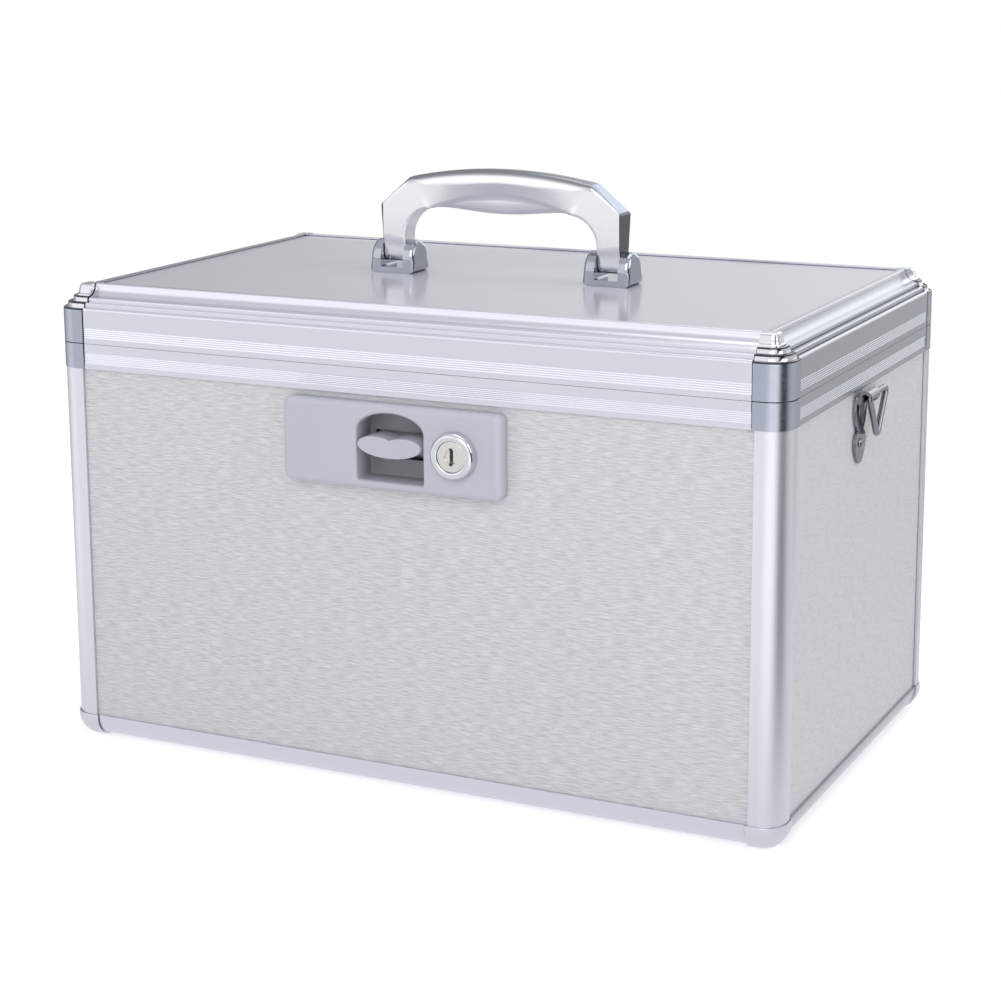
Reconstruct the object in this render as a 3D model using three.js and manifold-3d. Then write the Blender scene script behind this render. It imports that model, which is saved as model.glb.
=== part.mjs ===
// Medication lock box: board panels held in aluminium edge rails, cast corners, a hinged lid with a
// folding handle, a key-locked latch and a lift-out tray. Millimetres, +Z up, front faces -Y.
import * as THREE from 'three';
import { mergeVertices } from 'three/addons/utils/BufferGeometryUtils.js';
import Module from 'manifold-3d';

const wasm = await Module();
wasm.setup();

// Driving dimensions of the case
const caseWidth = 320;
const caseDepth = 198;
const caseHeight = 197;
const lidHeight = 24.1;
const edgeRadius = 9;

// Clearances: parts that butt, parts that move past each other, and the line between lid and body
const seam = 0.15;
const slip = 0.3;
const partingGap = 0.3;
const overrun = 2;
const tightRadius = 0.3;

// Boards
const wallBoard = 5;
const baseBoard = 4;
const topBoard = 4;

// Cast corners stand proud of the rails they cover
const castProud = 0.8;
const castLeg = 13.6;
const castWall = 1.2;
const castSteps = 6;

// Extruded rails and posts
const railWall = 1.2;
const boardPocket = wallBoard + 2 * seam;
const railLeg = railWall + boardPocket + railWall;
const postLeg = 12.5;
const postPortRadius = 1.6;
const footRailHeight = 10;
const footRailReach = 13;
const footPocketDepth = 3.6;
const rimHeight = 10.6;
const rimPocketDepth = 6;
const tongueInset = 2.2;
const tongueThickness = 1.2;
const tongueHeight = 3.9;
const ribDepth = 0.35;
const lidRibCount = 5;
const lidRibBand = 4.4;
const lidRibFoot = 2.4;
const rimRibCount = 6;
const rimRibBand = 4.5;
const rimRibFoot = 2.3;
const lidShoulder = 14.1;
const lidWall = 1.5;
const crownInset = 11.4;
const crownLip = 1.2;
const lipThickness = 0.8;
const lidChannelInset = 10.6;
const lidLedgeReach = castLeg - seam;
const lidLedgeThickness = 1.2;

// Levels worked out from the sizes above
const halfWidth = caseWidth / 2;
const halfDepth = caseDepth / 2;
const partingZ = caseHeight - lidHeight;
const rimBottomZ = partingZ - rimHeight;
const footBottomZ = castProud;
const footTopZ = footBottomZ + footRailHeight;
const lidBottomZ = partingZ + partingGap;
const shoulderZ = partingZ + lidShoulder;
const crownHeight = caseHeight - shoulderZ;
const boardFace = railWall + seam;
const boardInner = boardFace + wallBoard;
const railEnd = castLeg + seam;
const pocketTopZ = rimBottomZ + rimPocketDepth;
const channelEnd = railLeg + seam;

// Crown moulding: shares of the crown's inset and height, from the shoulder up to the lip
const railCrownShares = [
  [0.03, 0.05], [0.14, 0.12], [0.175, 0.25], [0.37, 0.28], [0.41, 0.44],
  [0.52, 0.48], [0.64, 0.55], [0.74, 0.64], [0.81, 0.76], [0.86, 0.9], [0.93, 0.98], [1, 1],
];
const castCrownShares = [
  [0.04, 0.06], [0.1, 0.2], [0.18, 0.26], [0.33, 0.3], [0.38, 0.46],
  [0.52, 0.54], [0.63, 0.62], [0.69, 0.8], [0.76, 0.96], [0.86, 1], [1, 1],
];
// Underside of the crown, as the same kind of shares
const crownUndersideShares = [[0.84, 0.37], [0.55, 0.32], [0.3, 0.16], [0.16, 0]];

const finishes = {
  anodised: new THREE.MeshStandardMaterial({ color: 0xc9ccd6, roughness: 0.38, metalness: 0.85 }),
  post: new THREE.MeshStandardMaterial({ color: 0xcfd0da, roughness: 0.42, metalness: 0.8 }),
  chrome: new THREE.MeshStandardMaterial({ color: 0xc4cad4, roughness: 0.12, metalness: 1 }),
  laminate: new THREE.MeshStandardMaterial({ color: 0xcbc9ca, roughness: 0.6, metalness: 0.05 }),
  topSkin: new THREE.MeshStandardMaterial({ color: 0xc0c1c9, roughness: 0.3, metalness: 0.25 }),
  plastic: new THREE.MeshStandardMaterial({ color: 0xbdc0cf, roughness: 0.45, metalness: 0 }),
  steel: new THREE.MeshStandardMaterial({ color: 0xb4b6ba, roughness: 0.35, metalness: 1 }),
  nickel: new THREE.MeshStandardMaterial({ color: 0xc8c6c0, roughness: 0.3, metalness: 1 }),
  liner: new THREE.MeshStandardMaterial({ color: 0xe6e7ea, roughness: 0.5, metalness: 0 }),
};

// Solid helpers: booleans, capped lofts and turned or extruded blanks
function toManifold(geometry) {
  const bare = geometry.clone();
  bare.deleteAttribute('normal');
  bare.deleteAttribute('uv');
  const merged = mergeVertices(bare, 1e-5);
  return new wasm.Manifold(new wasm.Mesh({
    numProp: 3,
    vertProperties: new Float32Array(merged.attributes.position.array),
    triVerts: new Uint32Array(merged.index.array),
  }));
}

function toGeometry(manifold) {
  const mesh = manifold.getMesh();
  const geometry = new THREE.BufferGeometry();
  geometry.setAttribute('position', new THREE.BufferAttribute(new Float32Array(mesh.vertProperties), 3));
  geometry.setIndex(new THREE.BufferAttribute(new Uint32Array(mesh.triVerts), 1));
  geometry.computeVertexNormals();
  return geometry;
}

function join(...pieces) {
  return toGeometry(pieces.map(toManifold).reduce((whole, piece) => whole.add(piece)));
}

function cut(blank, ...tools) {
  return toGeometry(tools.map(toManifold).reduce((whole, tool) => whole.subtract(tool), toManifold(blank)));
}

function common(first, second) {
  return toGeometry(toManifold(first).intersect(toManifold(second)));
}

function block(low, high) {
  const size = high.map((value, i) => value - low[i]);
  const geometry = new THREE.BoxGeometry(...size);
  return geometry.translate(...low.map((value, i) => value + size[i] / 2));
}

// A rod along X, Y or Z between two places on its axis
function rod(axis, radius, from, to, at, sides = 20) {
  const geometry = new THREE.CylinderGeometry(radius, radius, to - from, sides);
  const middle = (from + to) / 2;
  if (axis === 'x') return geometry.rotateZ(Math.PI / 2).translate(middle, at[0], at[1]);
  if (axis === 'y') return geometry.translate(at[0], middle, at[1]);
  return geometry.rotateX(Math.PI / 2).translate(at[0], at[1], middle);
}

// An outline in the XY plane raised from one level to another
function raise(shape, low, high, curveSegments = 8) {
  const settings = { depth: high - low, bevelEnabled: false, curveSegments };
  const geometry = new THREE.ExtrudeGeometry(shape, settings);
  return geometry.translate(0, 0, low);
}

// An outline drawn as (x, z), given thickness from one y to another
function frontal(shape, nearY, farY, curveSegments = 8) {
  const settings = { depth: farY - nearY, bevelEnabled: false, curveSegments };
  const geometry = new THREE.ExtrudeGeometry(shape, settings);
  return geometry.rotateX(Math.PI / 2).translate(0, farY, 0);
}

// An outline drawn as (y, z), given thickness from one x to another
function lateral(shape, lowX, highX, curveSegments = 8) {
  const settings = { depth: highX - lowX, bevelEnabled: false, curveSegments };
  const geometry = new THREE.ExtrudeGeometry(shape, settings);
  return geometry.rotateZ(Math.PI / 2).rotateY(Math.PI / 2).translate(lowX, 0, 0);
}

// A section of (inset, z) points carried through plan stations, with both ends capped
function loft(section, stations) {
  const flat = section.map(([inset, z]) => new THREE.Vector2(inset, z));
  const count = section.length;
  const positions = [];
  for (const station of stations) {
    for (const [inset, z] of section) positions.push(...station(inset), z);
  }
  const faces = [];
  for (let ring = 0; ring + 1 < stations.length; ring += 1) {
    for (let i = 0; i < count; i += 1) {
      const a = ring * count + i;
      const b = ring * count + ((i + 1) % count);
      faces.push(a, b, b + count, a, b + count, a + count);
    }
  }
  const last = (stations.length - 1) * count;
  for (const [a, b, c] of THREE.ShapeUtils.triangulateShape(flat, [])) {
    faces.push(...(THREE.ShapeUtils.isClockWise(flat) ? [a, b, c, last + c, last + b, last + a]
      : [c, b, a, last + a, last + b, last + c]));
  }
  const geometry = new THREE.BufferGeometry();
  geometry.setAttribute('position', new THREE.BufferAttribute(new Float32Array(positions), 3));
  geometry.setIndex(faces);
  return outward(geometry);
}

// Turns a closed mesh the right way round, and gives it normals
function outward(geometry) {
  const p = geometry.attributes.position;
  const index = geometry.index.array;
  const [a, b, c] = [new THREE.Vector3(), new THREE.Vector3(), new THREE.Vector3()];
  let volume = 0;
  for (let i = 0; i < index.length; i += 3) {
    a.fromBufferAttribute(p, index[i]);
    b.fromBufferAttribute(p, index[i + 1]);
    c.fromBufferAttribute(p, index[i + 2]);
    volume += a.dot(b.cross(c));
  }
  if (volume < 0) geometry.setIndex(Array.from(index).reverse());
  geometry.computeVertexNormals();
  return geometry;
}

// Plan places: a corner of the case seen as distances in from its two outer faces
const corners = [
  { name: 'front_left', sx: -1, sy: -1 }, { name: 'front_right', sx: 1, sy: -1 },
  { name: 'back_left', sx: -1, sy: 1 }, { name: 'back_right', sx: 1, sy: 1 },
];
const sides = ['front', 'back', 'left', 'right'];

function cornerPlace({ sx, sy }, fromSide, fromEnd) {
  return [sx * (halfWidth - fromSide), sy * (halfDepth - fromEnd)];
}

function cornerStations(corner, leg) {
  const stations = [(inset) => cornerPlace(corner, inset, leg)];
  for (let step = 0; step <= castSteps; step += 1) {
    const turn = (Math.PI / 2) * (step / castSteps);
    stations.push((inset) => {
      const radius = Math.max(edgeRadius - inset, tightRadius);
      const fromSide = inset + radius * (1 - Math.cos(turn));
      const fromEnd = inset + radius * (1 - Math.sin(turn));
      return cornerPlace(corner, fromSide, fromEnd);
    });
  }
  stations.push((inset) => cornerPlace(corner, leg, inset));
  return stations;
}

function railStations(side) {
  const alongX = side === 'front' || side === 'back';
  const face = side === 'front' || side === 'left' ? -1 : 1;
  const reach = (alongX ? halfWidth : halfDepth) - railEnd;
  return [-reach, reach].map((along) => (inset) => (alongX
    ? [along, face * (halfDepth - inset)] : [face * (halfWidth - inset), along]));
}

// A band of fine V grooves on a rail's outer face, from low to high
function ribs(low, band, count) {
  const pitch = band / count;
  const points = [[0, low]];
  for (let i = 0; i < count; i += 1) {
    points.push([ribDepth, low + (i + 0.5) * pitch], [0, low + (i + 1) * pitch]);
  }
  return points;
}

// Foot rail: a quarter round with a pocket for the wall board and a channel for the base board
const footPocketZ = footTopZ - footPocketDepth;
const baseBoardZ = footBottomZ + railWall + seam;
function footRailSection() {
  const section = [[0, footTopZ]];
  const arcSteps = 8;
  for (let i = 0; i <= arcSteps; i += 1) {
    const turn = (Math.PI / 2) * (i / arcSteps);
    section.push([edgeRadius * (1 - Math.cos(turn)), footBottomZ + edgeRadius * (1 - Math.sin(turn))]);
  }
  const channelTop = baseBoardZ + baseBoard + seam;
  section.push(
    [footRailReach, footBottomZ], [footRailReach, footBottomZ + railWall],
    [railLeg, footBottomZ + railWall], [railLeg, channelTop],
    [footRailReach, channelTop], [footRailReach, channelTop + railWall], [railLeg, channelTop + railWall],
    [railLeg, footTopZ], [railLeg - railWall, footTopZ], [railLeg - railWall, footPocketZ],
    [railWall, footPocketZ], [railWall, footTopZ],
  );
  return section;
}

// Ball corner: a cast shell that closes the foot rails' ends
function footCornerSection() {
  const section = [[-castProud, footTopZ]];
  const arcSteps = 6;
  const centreZ = footBottomZ + edgeRadius;
  for (let i = 0; i <= arcSteps; i += 1) {
    const turn = (Math.PI / 2) * (i / arcSteps);
    const radius = edgeRadius + castProud;
    section.push([edgeRadius - radius * Math.cos(turn), centreZ - radius * Math.sin(turn)]);
  }
  const inner = edgeRadius + castProud - castWall;
  const toe = castLeg - 2 * tightRadius;
  section.push([toe, 0], [toe, castWall]);
  for (let i = arcSteps; i >= 0; i -= 1) {
    const turn = (Math.PI / 2) * (i / arcSteps);
    section.push([edgeRadius - inner * Math.cos(turn), centreZ - inner * Math.sin(turn)]);
  }
  section.push([-seam, centreZ], [-seam, footTopZ]);
  return section;
}

// Post: an extrusion with a round outside, two board pockets and a screw port
function postGeometry(corner) {
  const at = (fromSide, fromEnd) => new THREE.Vector2(...cornerPlace(corner, fromSide, fromEnd));
  const lipInner = railWall + boardPocket;
  const points = [[postLeg, 0]];
  const arcSteps = 8;
  for (let i = 0; i <= arcSteps; i += 1) {
    const turn = (Math.PI / 2) * (i / arcSteps);
    points.push([edgeRadius * (1 - Math.sin(turn)), edgeRadius * (1 - Math.cos(turn))]);
  }
  points.push(
    [0, postLeg], [railWall, postLeg], [railWall, railLeg], [lipInner, railLeg], [lipInner, postLeg],
    [railLeg, postLeg], [railLeg, railLeg], [postLeg, railLeg], [postLeg, lipInner],
    [railLeg, lipInner], [railLeg, railWall], [postLeg, railWall],
  );
  const shape = new THREE.Shape(points.map(([s, e]) => at(s, e)));
  const port = new THREE.Path();
  const middle = at(railLeg / 2, railLeg / 2);
  port.absarc(middle.x, middle.y, postPortRadius, 0, Math.PI * 2);
  shape.holes.push(port);
  return raise(shape, footBottomZ + edgeRadius + seam, pocketTopZ, 5);
}

// Rim rail: closes the wall boards' top edges and carries the tongue that the lid drops over
function rimSection(outerInset, withPocket, withRibs) {
  const tongueBack = tongueInset + tongueThickness;
  const softTop = tongueThickness / 4;
  const section = [[outerInset, rimBottomZ]];
  if (withRibs) section.push(...ribs(rimBottomZ + rimRibFoot, rimRibBand, rimRibCount));
  section.push(
    [outerInset, partingZ], [tongueInset, partingZ], [tongueInset, partingZ + tongueHeight - softTop],
    [tongueInset + softTop, partingZ + tongueHeight], [tongueBack - softTop, partingZ + tongueHeight],
    [tongueBack, partingZ + tongueHeight - softTop], [tongueBack, partingZ], [railLeg, partingZ],
  );
  if (withPocket) {
    section.push(
      [railLeg, rimBottomZ], [railLeg - railWall, rimBottomZ], [railLeg - railWall, pocketTopZ],
      [railWall, pocketTopZ], [railWall, rimBottomZ],
    );
  } else {
    const capUnderside = pocketTopZ + seam;
    section.push([railLeg, capUnderside], [-seam, capUnderside], [-seam, rimBottomZ]);
  }
  return section;
}

// Lid rail and lid corner: the crown moulding, with a channel that grips the top board
const topBoardZ = caseHeight - lipThickness - seam - topBoard;
function lidSection(outerInset, crownShares, ribbed) {
  const section = [[outerInset, lidBottomZ]];
  if (ribbed) section.push(...ribs(partingZ + lidRibFoot, lidRibBand, lidRibCount));
  section.push([outerInset, shoulderZ]);
  for (const [insetShare, riseShare] of crownShares) {
    const proud = outerInset * (1 - insetShare);
    section.push([proud + insetShare * crownInset, shoulderZ + riseShare * crownHeight]);
  }
  const lipEnd = crownInset + crownLip;
  const ledgeTop = topBoardZ - seam;
  section.push(
    [lipEnd, caseHeight], [lipEnd, caseHeight - lipThickness],
    [lidChannelInset, caseHeight - lipThickness], [lidChannelInset, ledgeTop],
  );
  if (ribbed) {
    section.push([lidLedgeReach, ledgeTop], [lidLedgeReach, ledgeTop - lidLedgeThickness]);
  } else {
    section.push([lipEnd, ledgeTop], [lipEnd, ledgeTop - lidLedgeThickness]);
  }
  for (const [insetShare, riseShare] of crownUndersideShares) {
    section.push([insetShare * crownInset, shoulderZ + riseShare * crownHeight]);
  }
  section.push([lidWall, shoulderZ - lidWall], [lidWall, lidBottomZ]);
  return section;
}

const caseGroup = new THREE.Group();
const lidGroup = new THREE.Group();
function add(group, name, geometry, finish) {
  const mesh = new THREE.Mesh(geometry, finish);
  mesh.name = name;
  group.add(mesh);
  return mesh;
}

for (const corner of corners) {
  add(caseGroup, `foot_corner_${corner.name}`, loft(footCornerSection(), cornerStations(corner, castLeg)),
    finishes.post);
  add(caseGroup, `corner_post_${corner.name}`, postGeometry(corner), finishes.post);
  add(caseGroup, `rim_corner_${corner.name}`,
    loft(rimSection(-castProud, false, false), cornerStations(corner, castLeg)), finishes.chrome);
  add(lidGroup, `lid_corner_${corner.name}`,
    loft(lidSection(-castProud, castCrownShares, false), cornerStations(corner, castLeg)), finishes.chrome);
}
for (const side of sides) {
  const stations = railStations(side);
  add(caseGroup, `foot_rail_${side}`, loft(footRailSection(), stations), finishes.anodised);
  add(caseGroup, `rim_rail_${side}`, loft(rimSection(0, true, true), stations), finishes.anodised);
  add(lidGroup, `lid_rail_${side}`, loft(lidSection(0, railCrownShares, true), stations), finishes.anodised);
}

// Boards: four walls in the rails' pockets, the base in its channel and the lid's top
const wallLowZ = footPocketZ + seam;
const wallHighZ = pocketTopZ - seam;
const sideBoardReach = halfDepth - channelEnd;
const frontBoardReach = halfWidth - channelEnd;

// Latch and lock places on the front wall
const latchDrop = 19.4;
const latchZ = rimBottomZ - latchDrop;
const plateWidth = 96;
const plateHeight = 34;
const plateRise = 6.4;
const plateCornerRadius = 3.2;
const plateEdgeRound = 2.2;
const recessWidth = 29.4;
const recessHeight = 27.4;
const recessArch = 7.5;
const recessDepth = 12;
const tubWall = 1.5;
const lockX = 28.8;
const barrelRadius = 7.6;
const plateBackY = -halfDepth + boardFace - seam;
const plateFaceY = plateBackY - plateRise;
const recessBackY = plateFaceY + recessDepth;
const tubBackY = recessBackY + tubWall;
const recessFloorZ = latchZ - recessHeight / 2;
const recessTopZ = recessFloorZ + recessHeight;

// Recess outline: straight sides under a flat elliptical arch
function archShape(halfWide, low, high, rise) {
  const shape = new THREE.Shape();
  shape.moveTo(-halfWide, low);
  shape.lineTo(halfWide, low);
  shape.lineTo(halfWide, high - rise);
  shape.absellipse(0, high - rise, halfWide, rise, 0, Math.PI, false);
  shape.lineTo(-halfWide, low);
  return shape;
}

function roundedShape(centreX, centreY, halfWide, halfHigh, radius) {
  const shape = new THREE.Shape();
  const quarter = Math.PI / 2;
  const [left, right] = [centreX - halfWide + radius, centreX + halfWide - radius];
  const [low, high] = [centreY - halfHigh + radius, centreY + halfHigh - radius];
  shape.absarc(right, low, radius, -quarter, 0, false);
  shape.absarc(right, high, radius, 0, quarter, false);
  shape.absarc(left, high, radius, quarter, 2 * quarter, false);
  shape.absarc(left, low, radius, 2 * quarter, 3 * quarter, false);
  return shape;
}

// Front wall board, with the cut-outs for the latch tub and the lock barrel
const tubHalfWidth = recessWidth / 2 + tubWall;
const tubLowZ = recessFloorZ - tubWall;
const tubHighZ = recessTopZ + tubWall;
function frontBoard() {
  const faceY = -halfDepth + boardFace;
  const board = block([-frontBoardReach, faceY, wallLowZ], [frontBoardReach, faceY + wallBoard, wallHighZ]);
  const tubHole = block([-tubHalfWidth - slip, faceY - overrun, tubLowZ - slip],
    [tubHalfWidth + slip, faceY + wallBoard + overrun, tubHighZ + slip]);
  const lockHole = rod('y', barrelRadius + slip, faceY - overrun, faceY + wallBoard + overrun,
    [lockX, latchZ]);
  return cut(board, tubHole, lockHole);
}

const backInnerY = halfDepth - boardFace - wallBoard;
const sideInnerX = halfWidth - boardFace - wallBoard;
add(caseGroup, 'wall_board_front', frontBoard(), finishes.laminate);
add(caseGroup, 'wall_board_back', block([-frontBoardReach, backInnerY, wallLowZ],
  [frontBoardReach, backInnerY + wallBoard, wallHighZ]), finishes.laminate);
add(caseGroup, 'wall_board_left', block([-sideInnerX - wallBoard, -sideBoardReach, wallLowZ],
  [-sideInnerX, sideBoardReach, wallHighZ]), finishes.laminate);
add(caseGroup, 'wall_board_right', block([sideInnerX, -sideBoardReach, wallLowZ],
  [sideInnerX + wallBoard, sideBoardReach, wallHighZ]), finishes.laminate);
add(caseGroup, 'base_board', block([-frontBoardReach, -sideBoardReach, baseBoardZ],
  [frontBoardReach, sideBoardReach, baseBoardZ + baseBoard]), finishes.laminate);
const topReachX = halfWidth - lidChannelInset - seam;
const topReachY = halfDepth - lidChannelInset - seam;
const topFaceZ = topBoardZ + topBoard;
add(lidGroup, 'top_board', block([-topReachX, -topReachY, topBoardZ], [topReachX, topReachY, topFaceZ]),
  finishes.topSkin);

// Latch lever: paddle blade, stem, pivot boss, tail and lock lug, turning on a cross pin
const pivotInset = 15.5;
const pivotY = -halfDepth + pivotInset;
const pinRadius = 1.5;
const runningGap = 0.1;
const bossRadius = 3.4;
const bossReach = 15.9;
const bladeWidth = 28;
const bladeHeight = 8.4;
const bladeDepth = 10;
const bladeProud = 0.4;
const stemWidth = 22;
const stemHeight = 7;
const stemSideGap = 1.2;
const stemDropGap = 3.2;
const stemRiseGap = 1;
const tailLength = 9;
const tailWidth = 14;
const tailThickness = 3.6;
const camHalfWidth = 3.5;
const camTipGap = 0.6;
const lugWidth = 6;
const lugThickness = 2.8;
// The blade's face is a pair of humps over one long curve: shares of its half width and half height
const bladeTipShare = [1, 0.15];
const bladeHumpShare = [0.5, 1];
const bladeShoulderShare = [0.97, 0.92];
const bladeNotchShare = [0, 0.7];
const bladeDipShare = [0.16, 0.96];
const bladeBellyShare = [0.8, -1.15];

function bladeShape() {
  const at = ([across, up], side) => [side * across * (bladeWidth / 2), latchZ + up * (bladeHeight / 2)];
  const shape = new THREE.Shape();
  shape.moveTo(...at(bladeTipShare, 1));
  shape.quadraticCurveTo(...at(bladeShoulderShare, 1), ...at(bladeHumpShare, 1));
  shape.quadraticCurveTo(...at(bladeDipShare, 1), ...at(bladeNotchShare, 1));
  shape.quadraticCurveTo(...at(bladeDipShare, -1), ...at(bladeHumpShare, -1));
  shape.quadraticCurveTo(...at(bladeShoulderShare, -1), ...at(bladeTipShare, -1));
  shape.bezierCurveTo(...at(bladeBellyShare, -1), ...at(bladeBellyShare, 1), ...at(bladeTipShare, 1));
  return shape;
}

const bladeFrontY = plateFaceY - bladeProud;
const bladeBackY = bladeFrontY + bladeDepth;
const tailTopZ = latchZ + tailThickness / 2;
// Apron: a shell round the pivot, on the stem, that closes the plate's slot whichever way the lever stands
const apronRadius = Math.hypot(pivotY - tubBackY, stemHeight / 2 + stemRiseGap) - seam;
const apronWall = 1.4;
const apronDrop = 7.4;
const apronRise = 6.6;
function latchApron() {
  const half = stemWidth / 2;
  const shell = cut(rod('x', apronRadius, -half, half, [pivotY, latchZ], 32),
    rod('x', apronRadius - apronWall, -half - overrun, half + overrun, [pivotY, latchZ], 32));
  return common(shell, block([-half - overrun, pivotY - apronRadius - overrun, latchZ - apronDrop],
    [half + overrun, pivotY - bossRadius, latchZ + apronRise]));
}

function latchPaddle() {
  const blade = frontal(bladeShape(), bladeFrontY, bladeBackY, 6);
  const stem = block([-stemWidth / 2, bladeBackY - overrun, latchZ - stemHeight / 2],
    [stemWidth / 2, pivotY, latchZ + stemHeight / 2]);
  const boss = rod('x', bossRadius, -bossReach, bossReach, [pivotY, latchZ], 16);
  const tail = block([-tailWidth / 2, pivotY, latchZ - tailThickness / 2],
    [tailWidth / 2, pivotY + tailLength, tailTopZ]);
  const lugTopZ = latchZ - camHalfWidth - slip;
  const lug = block([bossReach - lugWidth, pivotY, lugTopZ - lugThickness],
    [bossReach, pivotY + tailLength - tailThickness / 2, lugTopZ]);
  const lugRoot = block([0, pivotY, lugTopZ - lugThickness],
    [bossReach, pivotY + bossRadius, latchZ - tailThickness / 2 + tailThickness / 4]);
  const bore = rod('x', pinRadius + runningGap, -bossReach - overrun, bossReach + overrun,
    [pivotY, latchZ], 16);
  return cut(join(blade, stem, latchApron(), boss, tail, lug, lugRoot), bore);
}

function latchPlate() {
  const shape = roundedShape(0, latchZ, plateWidth / 2 - plateEdgeRound, plateHeight / 2 - plateEdgeRound,
    plateCornerRadius - plateEdgeRound);
  const blank = new THREE.ExtrudeGeometry(shape, {
    depth: plateRise - plateEdgeRound, bevelEnabled: true, bevelThickness: plateEdgeRound,
    bevelSize: plateEdgeRound, bevelSegments: 3, curveSegments: 3,
  });
  blank.rotateX(Math.PI / 2).translate(0, plateBackY, 0);
  const behind = block([-plateWidth, plateBackY, latchZ - plateHeight],
    [plateWidth, plateBackY + plateRise, latchZ + plateHeight]);
  const tub = frontal(archShape(tubHalfWidth, tubLowZ, tubHighZ, recessArch + tubWall),
    plateBackY - overrun, tubBackY);
  const recess = frontal(archShape(recessWidth / 2, recessFloorZ, recessTopZ, recessArch),
    plateFaceY - overrun, recessBackY);
  const slotHalf = stemWidth / 2 + stemSideGap;
  const slot = block([-slotHalf, recessBackY - overrun, latchZ - stemHeight / 2 - stemDropGap],
    [slotHalf, tubBackY + overrun, latchZ + stemHeight / 2 + stemRiseGap]);
  const lockHole = rod('y', barrelRadius + seam, plateFaceY - overrun, plateBackY + overrun,
    [lockX, latchZ], 24);
  return cut(join(cut(blank, behind), tub), recess, slot, lockHole);
}

add(caseGroup, 'latch_plate', latchPlate(), finishes.plastic);
add(caseGroup, 'latch_paddle', latchPaddle(), finishes.plastic);

// Hook plate on the stem, and the keeper that hangs from the lid
const hookWidth = 9;
const plateStock = 1.5;
const hookFootLength = 4.2;
const hookBelowParting = 6;
const noseLength = 1.8;
const noseHeight = 2;
const keeperGap = 0.6;
const keeperWidth = 18;
const keeperWindowWidth = 11;
const keeperWindowHeight = 5;
const keeperTail = 3;
const keeperFlange = 6;
const tongueClear = 0.8;
const armFrontY = pivotY - plateStock;
const armBackY = armFrontY + plateStock;
const hookNoseZ = partingZ - hookBelowParting;
const hookTopZ = hookNoseZ + noseHeight;
function latchHook() {
  const footZ = latchZ + stemHeight / 2 + runningGap;
  const shape = new THREE.Shape([
    [armBackY - hookFootLength, footZ], [armBackY, footZ], [armBackY, hookNoseZ],
    [armBackY + noseLength, hookNoseZ], [armBackY + noseLength, hookNoseZ + noseHeight / 4],
    [armBackY, hookTopZ], [armFrontY, hookTopZ], [armFrontY, footZ + plateStock],
    [armBackY - hookFootLength, footZ + plateStock],
  ].map(([y, z]) => new THREE.Vector2(y, z)));
  return lateral(shape, -hookWidth / 2, hookWidth / 2);
}

function lidKeeper() {
  const faceY = -halfDepth + lidWall + seam;
  const hangY = armBackY + noseLength + keeperGap;
  const shelfZ = partingZ + tongueHeight + tongueClear;
  const lowZ = hookNoseZ - keeperTail;
  const shape = new THREE.Shape([
    [faceY, shelfZ], [hangY, shelfZ], [hangY, lowZ], [hangY + plateStock, lowZ],
    [hangY + plateStock, shelfZ + plateStock], [faceY + plateStock, shelfZ + plateStock],
    [faceY + plateStock, shelfZ + keeperFlange], [faceY, shelfZ + keeperFlange],
  ].map(([y, z]) => new THREE.Vector2(y, z)));
  const plate = lateral(shape, -keeperWidth / 2, keeperWidth / 2);
  const window = block([-keeperWindowWidth / 2, hangY - overrun, hookNoseZ - slip],
    [keeperWindowWidth / 2, hangY + plateStock + overrun, hookNoseZ - slip + keeperWindowHeight]);
  return cut(plate, window);
}

add(caseGroup, 'latch_hook', latchHook(), finishes.steel);
add(lidGroup, 'lid_keeper', lidKeeper(), finishes.steel);

// Latch housing behind the front wall: cheeks for the pin, a roof for the spring, ears for screws
const housingWall = 1.4;
const housingBackGap = 2;
const earLength = 7;
const earHalfHeight = 8;
const screwRadius = 1.6;
const boardBackY = -halfDepth + boardInner;
const housingFrontY = boardBackY + seam;
const housingHalf = tubHalfWidth + slip;
const housingBackY = pivotY + tailLength + housingBackGap;
const housingLowZ = tubLowZ - slip;
const roofZ = tubHighZ + slip;
const camY = pivotY + 2 * plateStock;
const camSweep = 7.4;
function latchHousing() {
  const outer = block([-housingHalf - housingWall, housingFrontY, housingLowZ - housingWall],
    [housingHalf + housingWall, housingBackY + housingWall, roofZ + housingWall]);
  const inner = block([-housingHalf, housingFrontY - overrun, housingLowZ],
    [housingHalf, housingBackY, roofZ]);
  const roofSlot = block([-hookWidth / 2 - slip, housingFrontY - overrun, roofZ - overrun],
    [hookWidth / 2 + slip, armBackY + slip, roofZ + housingWall + overrun]);
  const camWindow = block([housingHalf - overrun, camY - plateStock, latchZ - camSweep],
    [housingHalf + housingWall + overrun, camY + 2 * plateStock, latchZ + camHalfWidth + plateStock]);
  const pinHole = rod('x', pinRadius + runningGap, -housingHalf - housingWall - overrun,
    housingHalf + housingWall + overrun, [pivotY, latchZ], 16);
  const sideEar = block([-housingHalf - housingWall - earLength, housingFrontY, latchZ - earHalfHeight],
    [-housingHalf, housingFrontY + housingWall, latchZ + earHalfHeight]);
  const lowEar = block([-earHalfHeight, housingFrontY, housingLowZ - housingWall - earLength],
    [earHalfHeight, housingFrontY + housingWall, housingLowZ]);
  const earHole = (x, z) => rod('y', screwRadius, housingFrontY - overrun,
    housingFrontY + housingWall + overrun, [x, z], 12);
  return cut(join(cut(outer, inner), sideEar, lowEar), roofSlot, camWindow, pinHole,
    earHole(-housingHalf - housingWall - earLength / 2, latchZ),
    earHole(0, housingLowZ - housingWall - earLength / 2));
}

const pinEnd = housingHalf + housingWall;
add(caseGroup, 'latch_housing', latchHousing(), finishes.steel);
add(caseGroup, 'latch_pin', rod('x', pinRadius, -pinEnd, pinEnd, [pivotY, latchZ], 16), finishes.steel);

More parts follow.
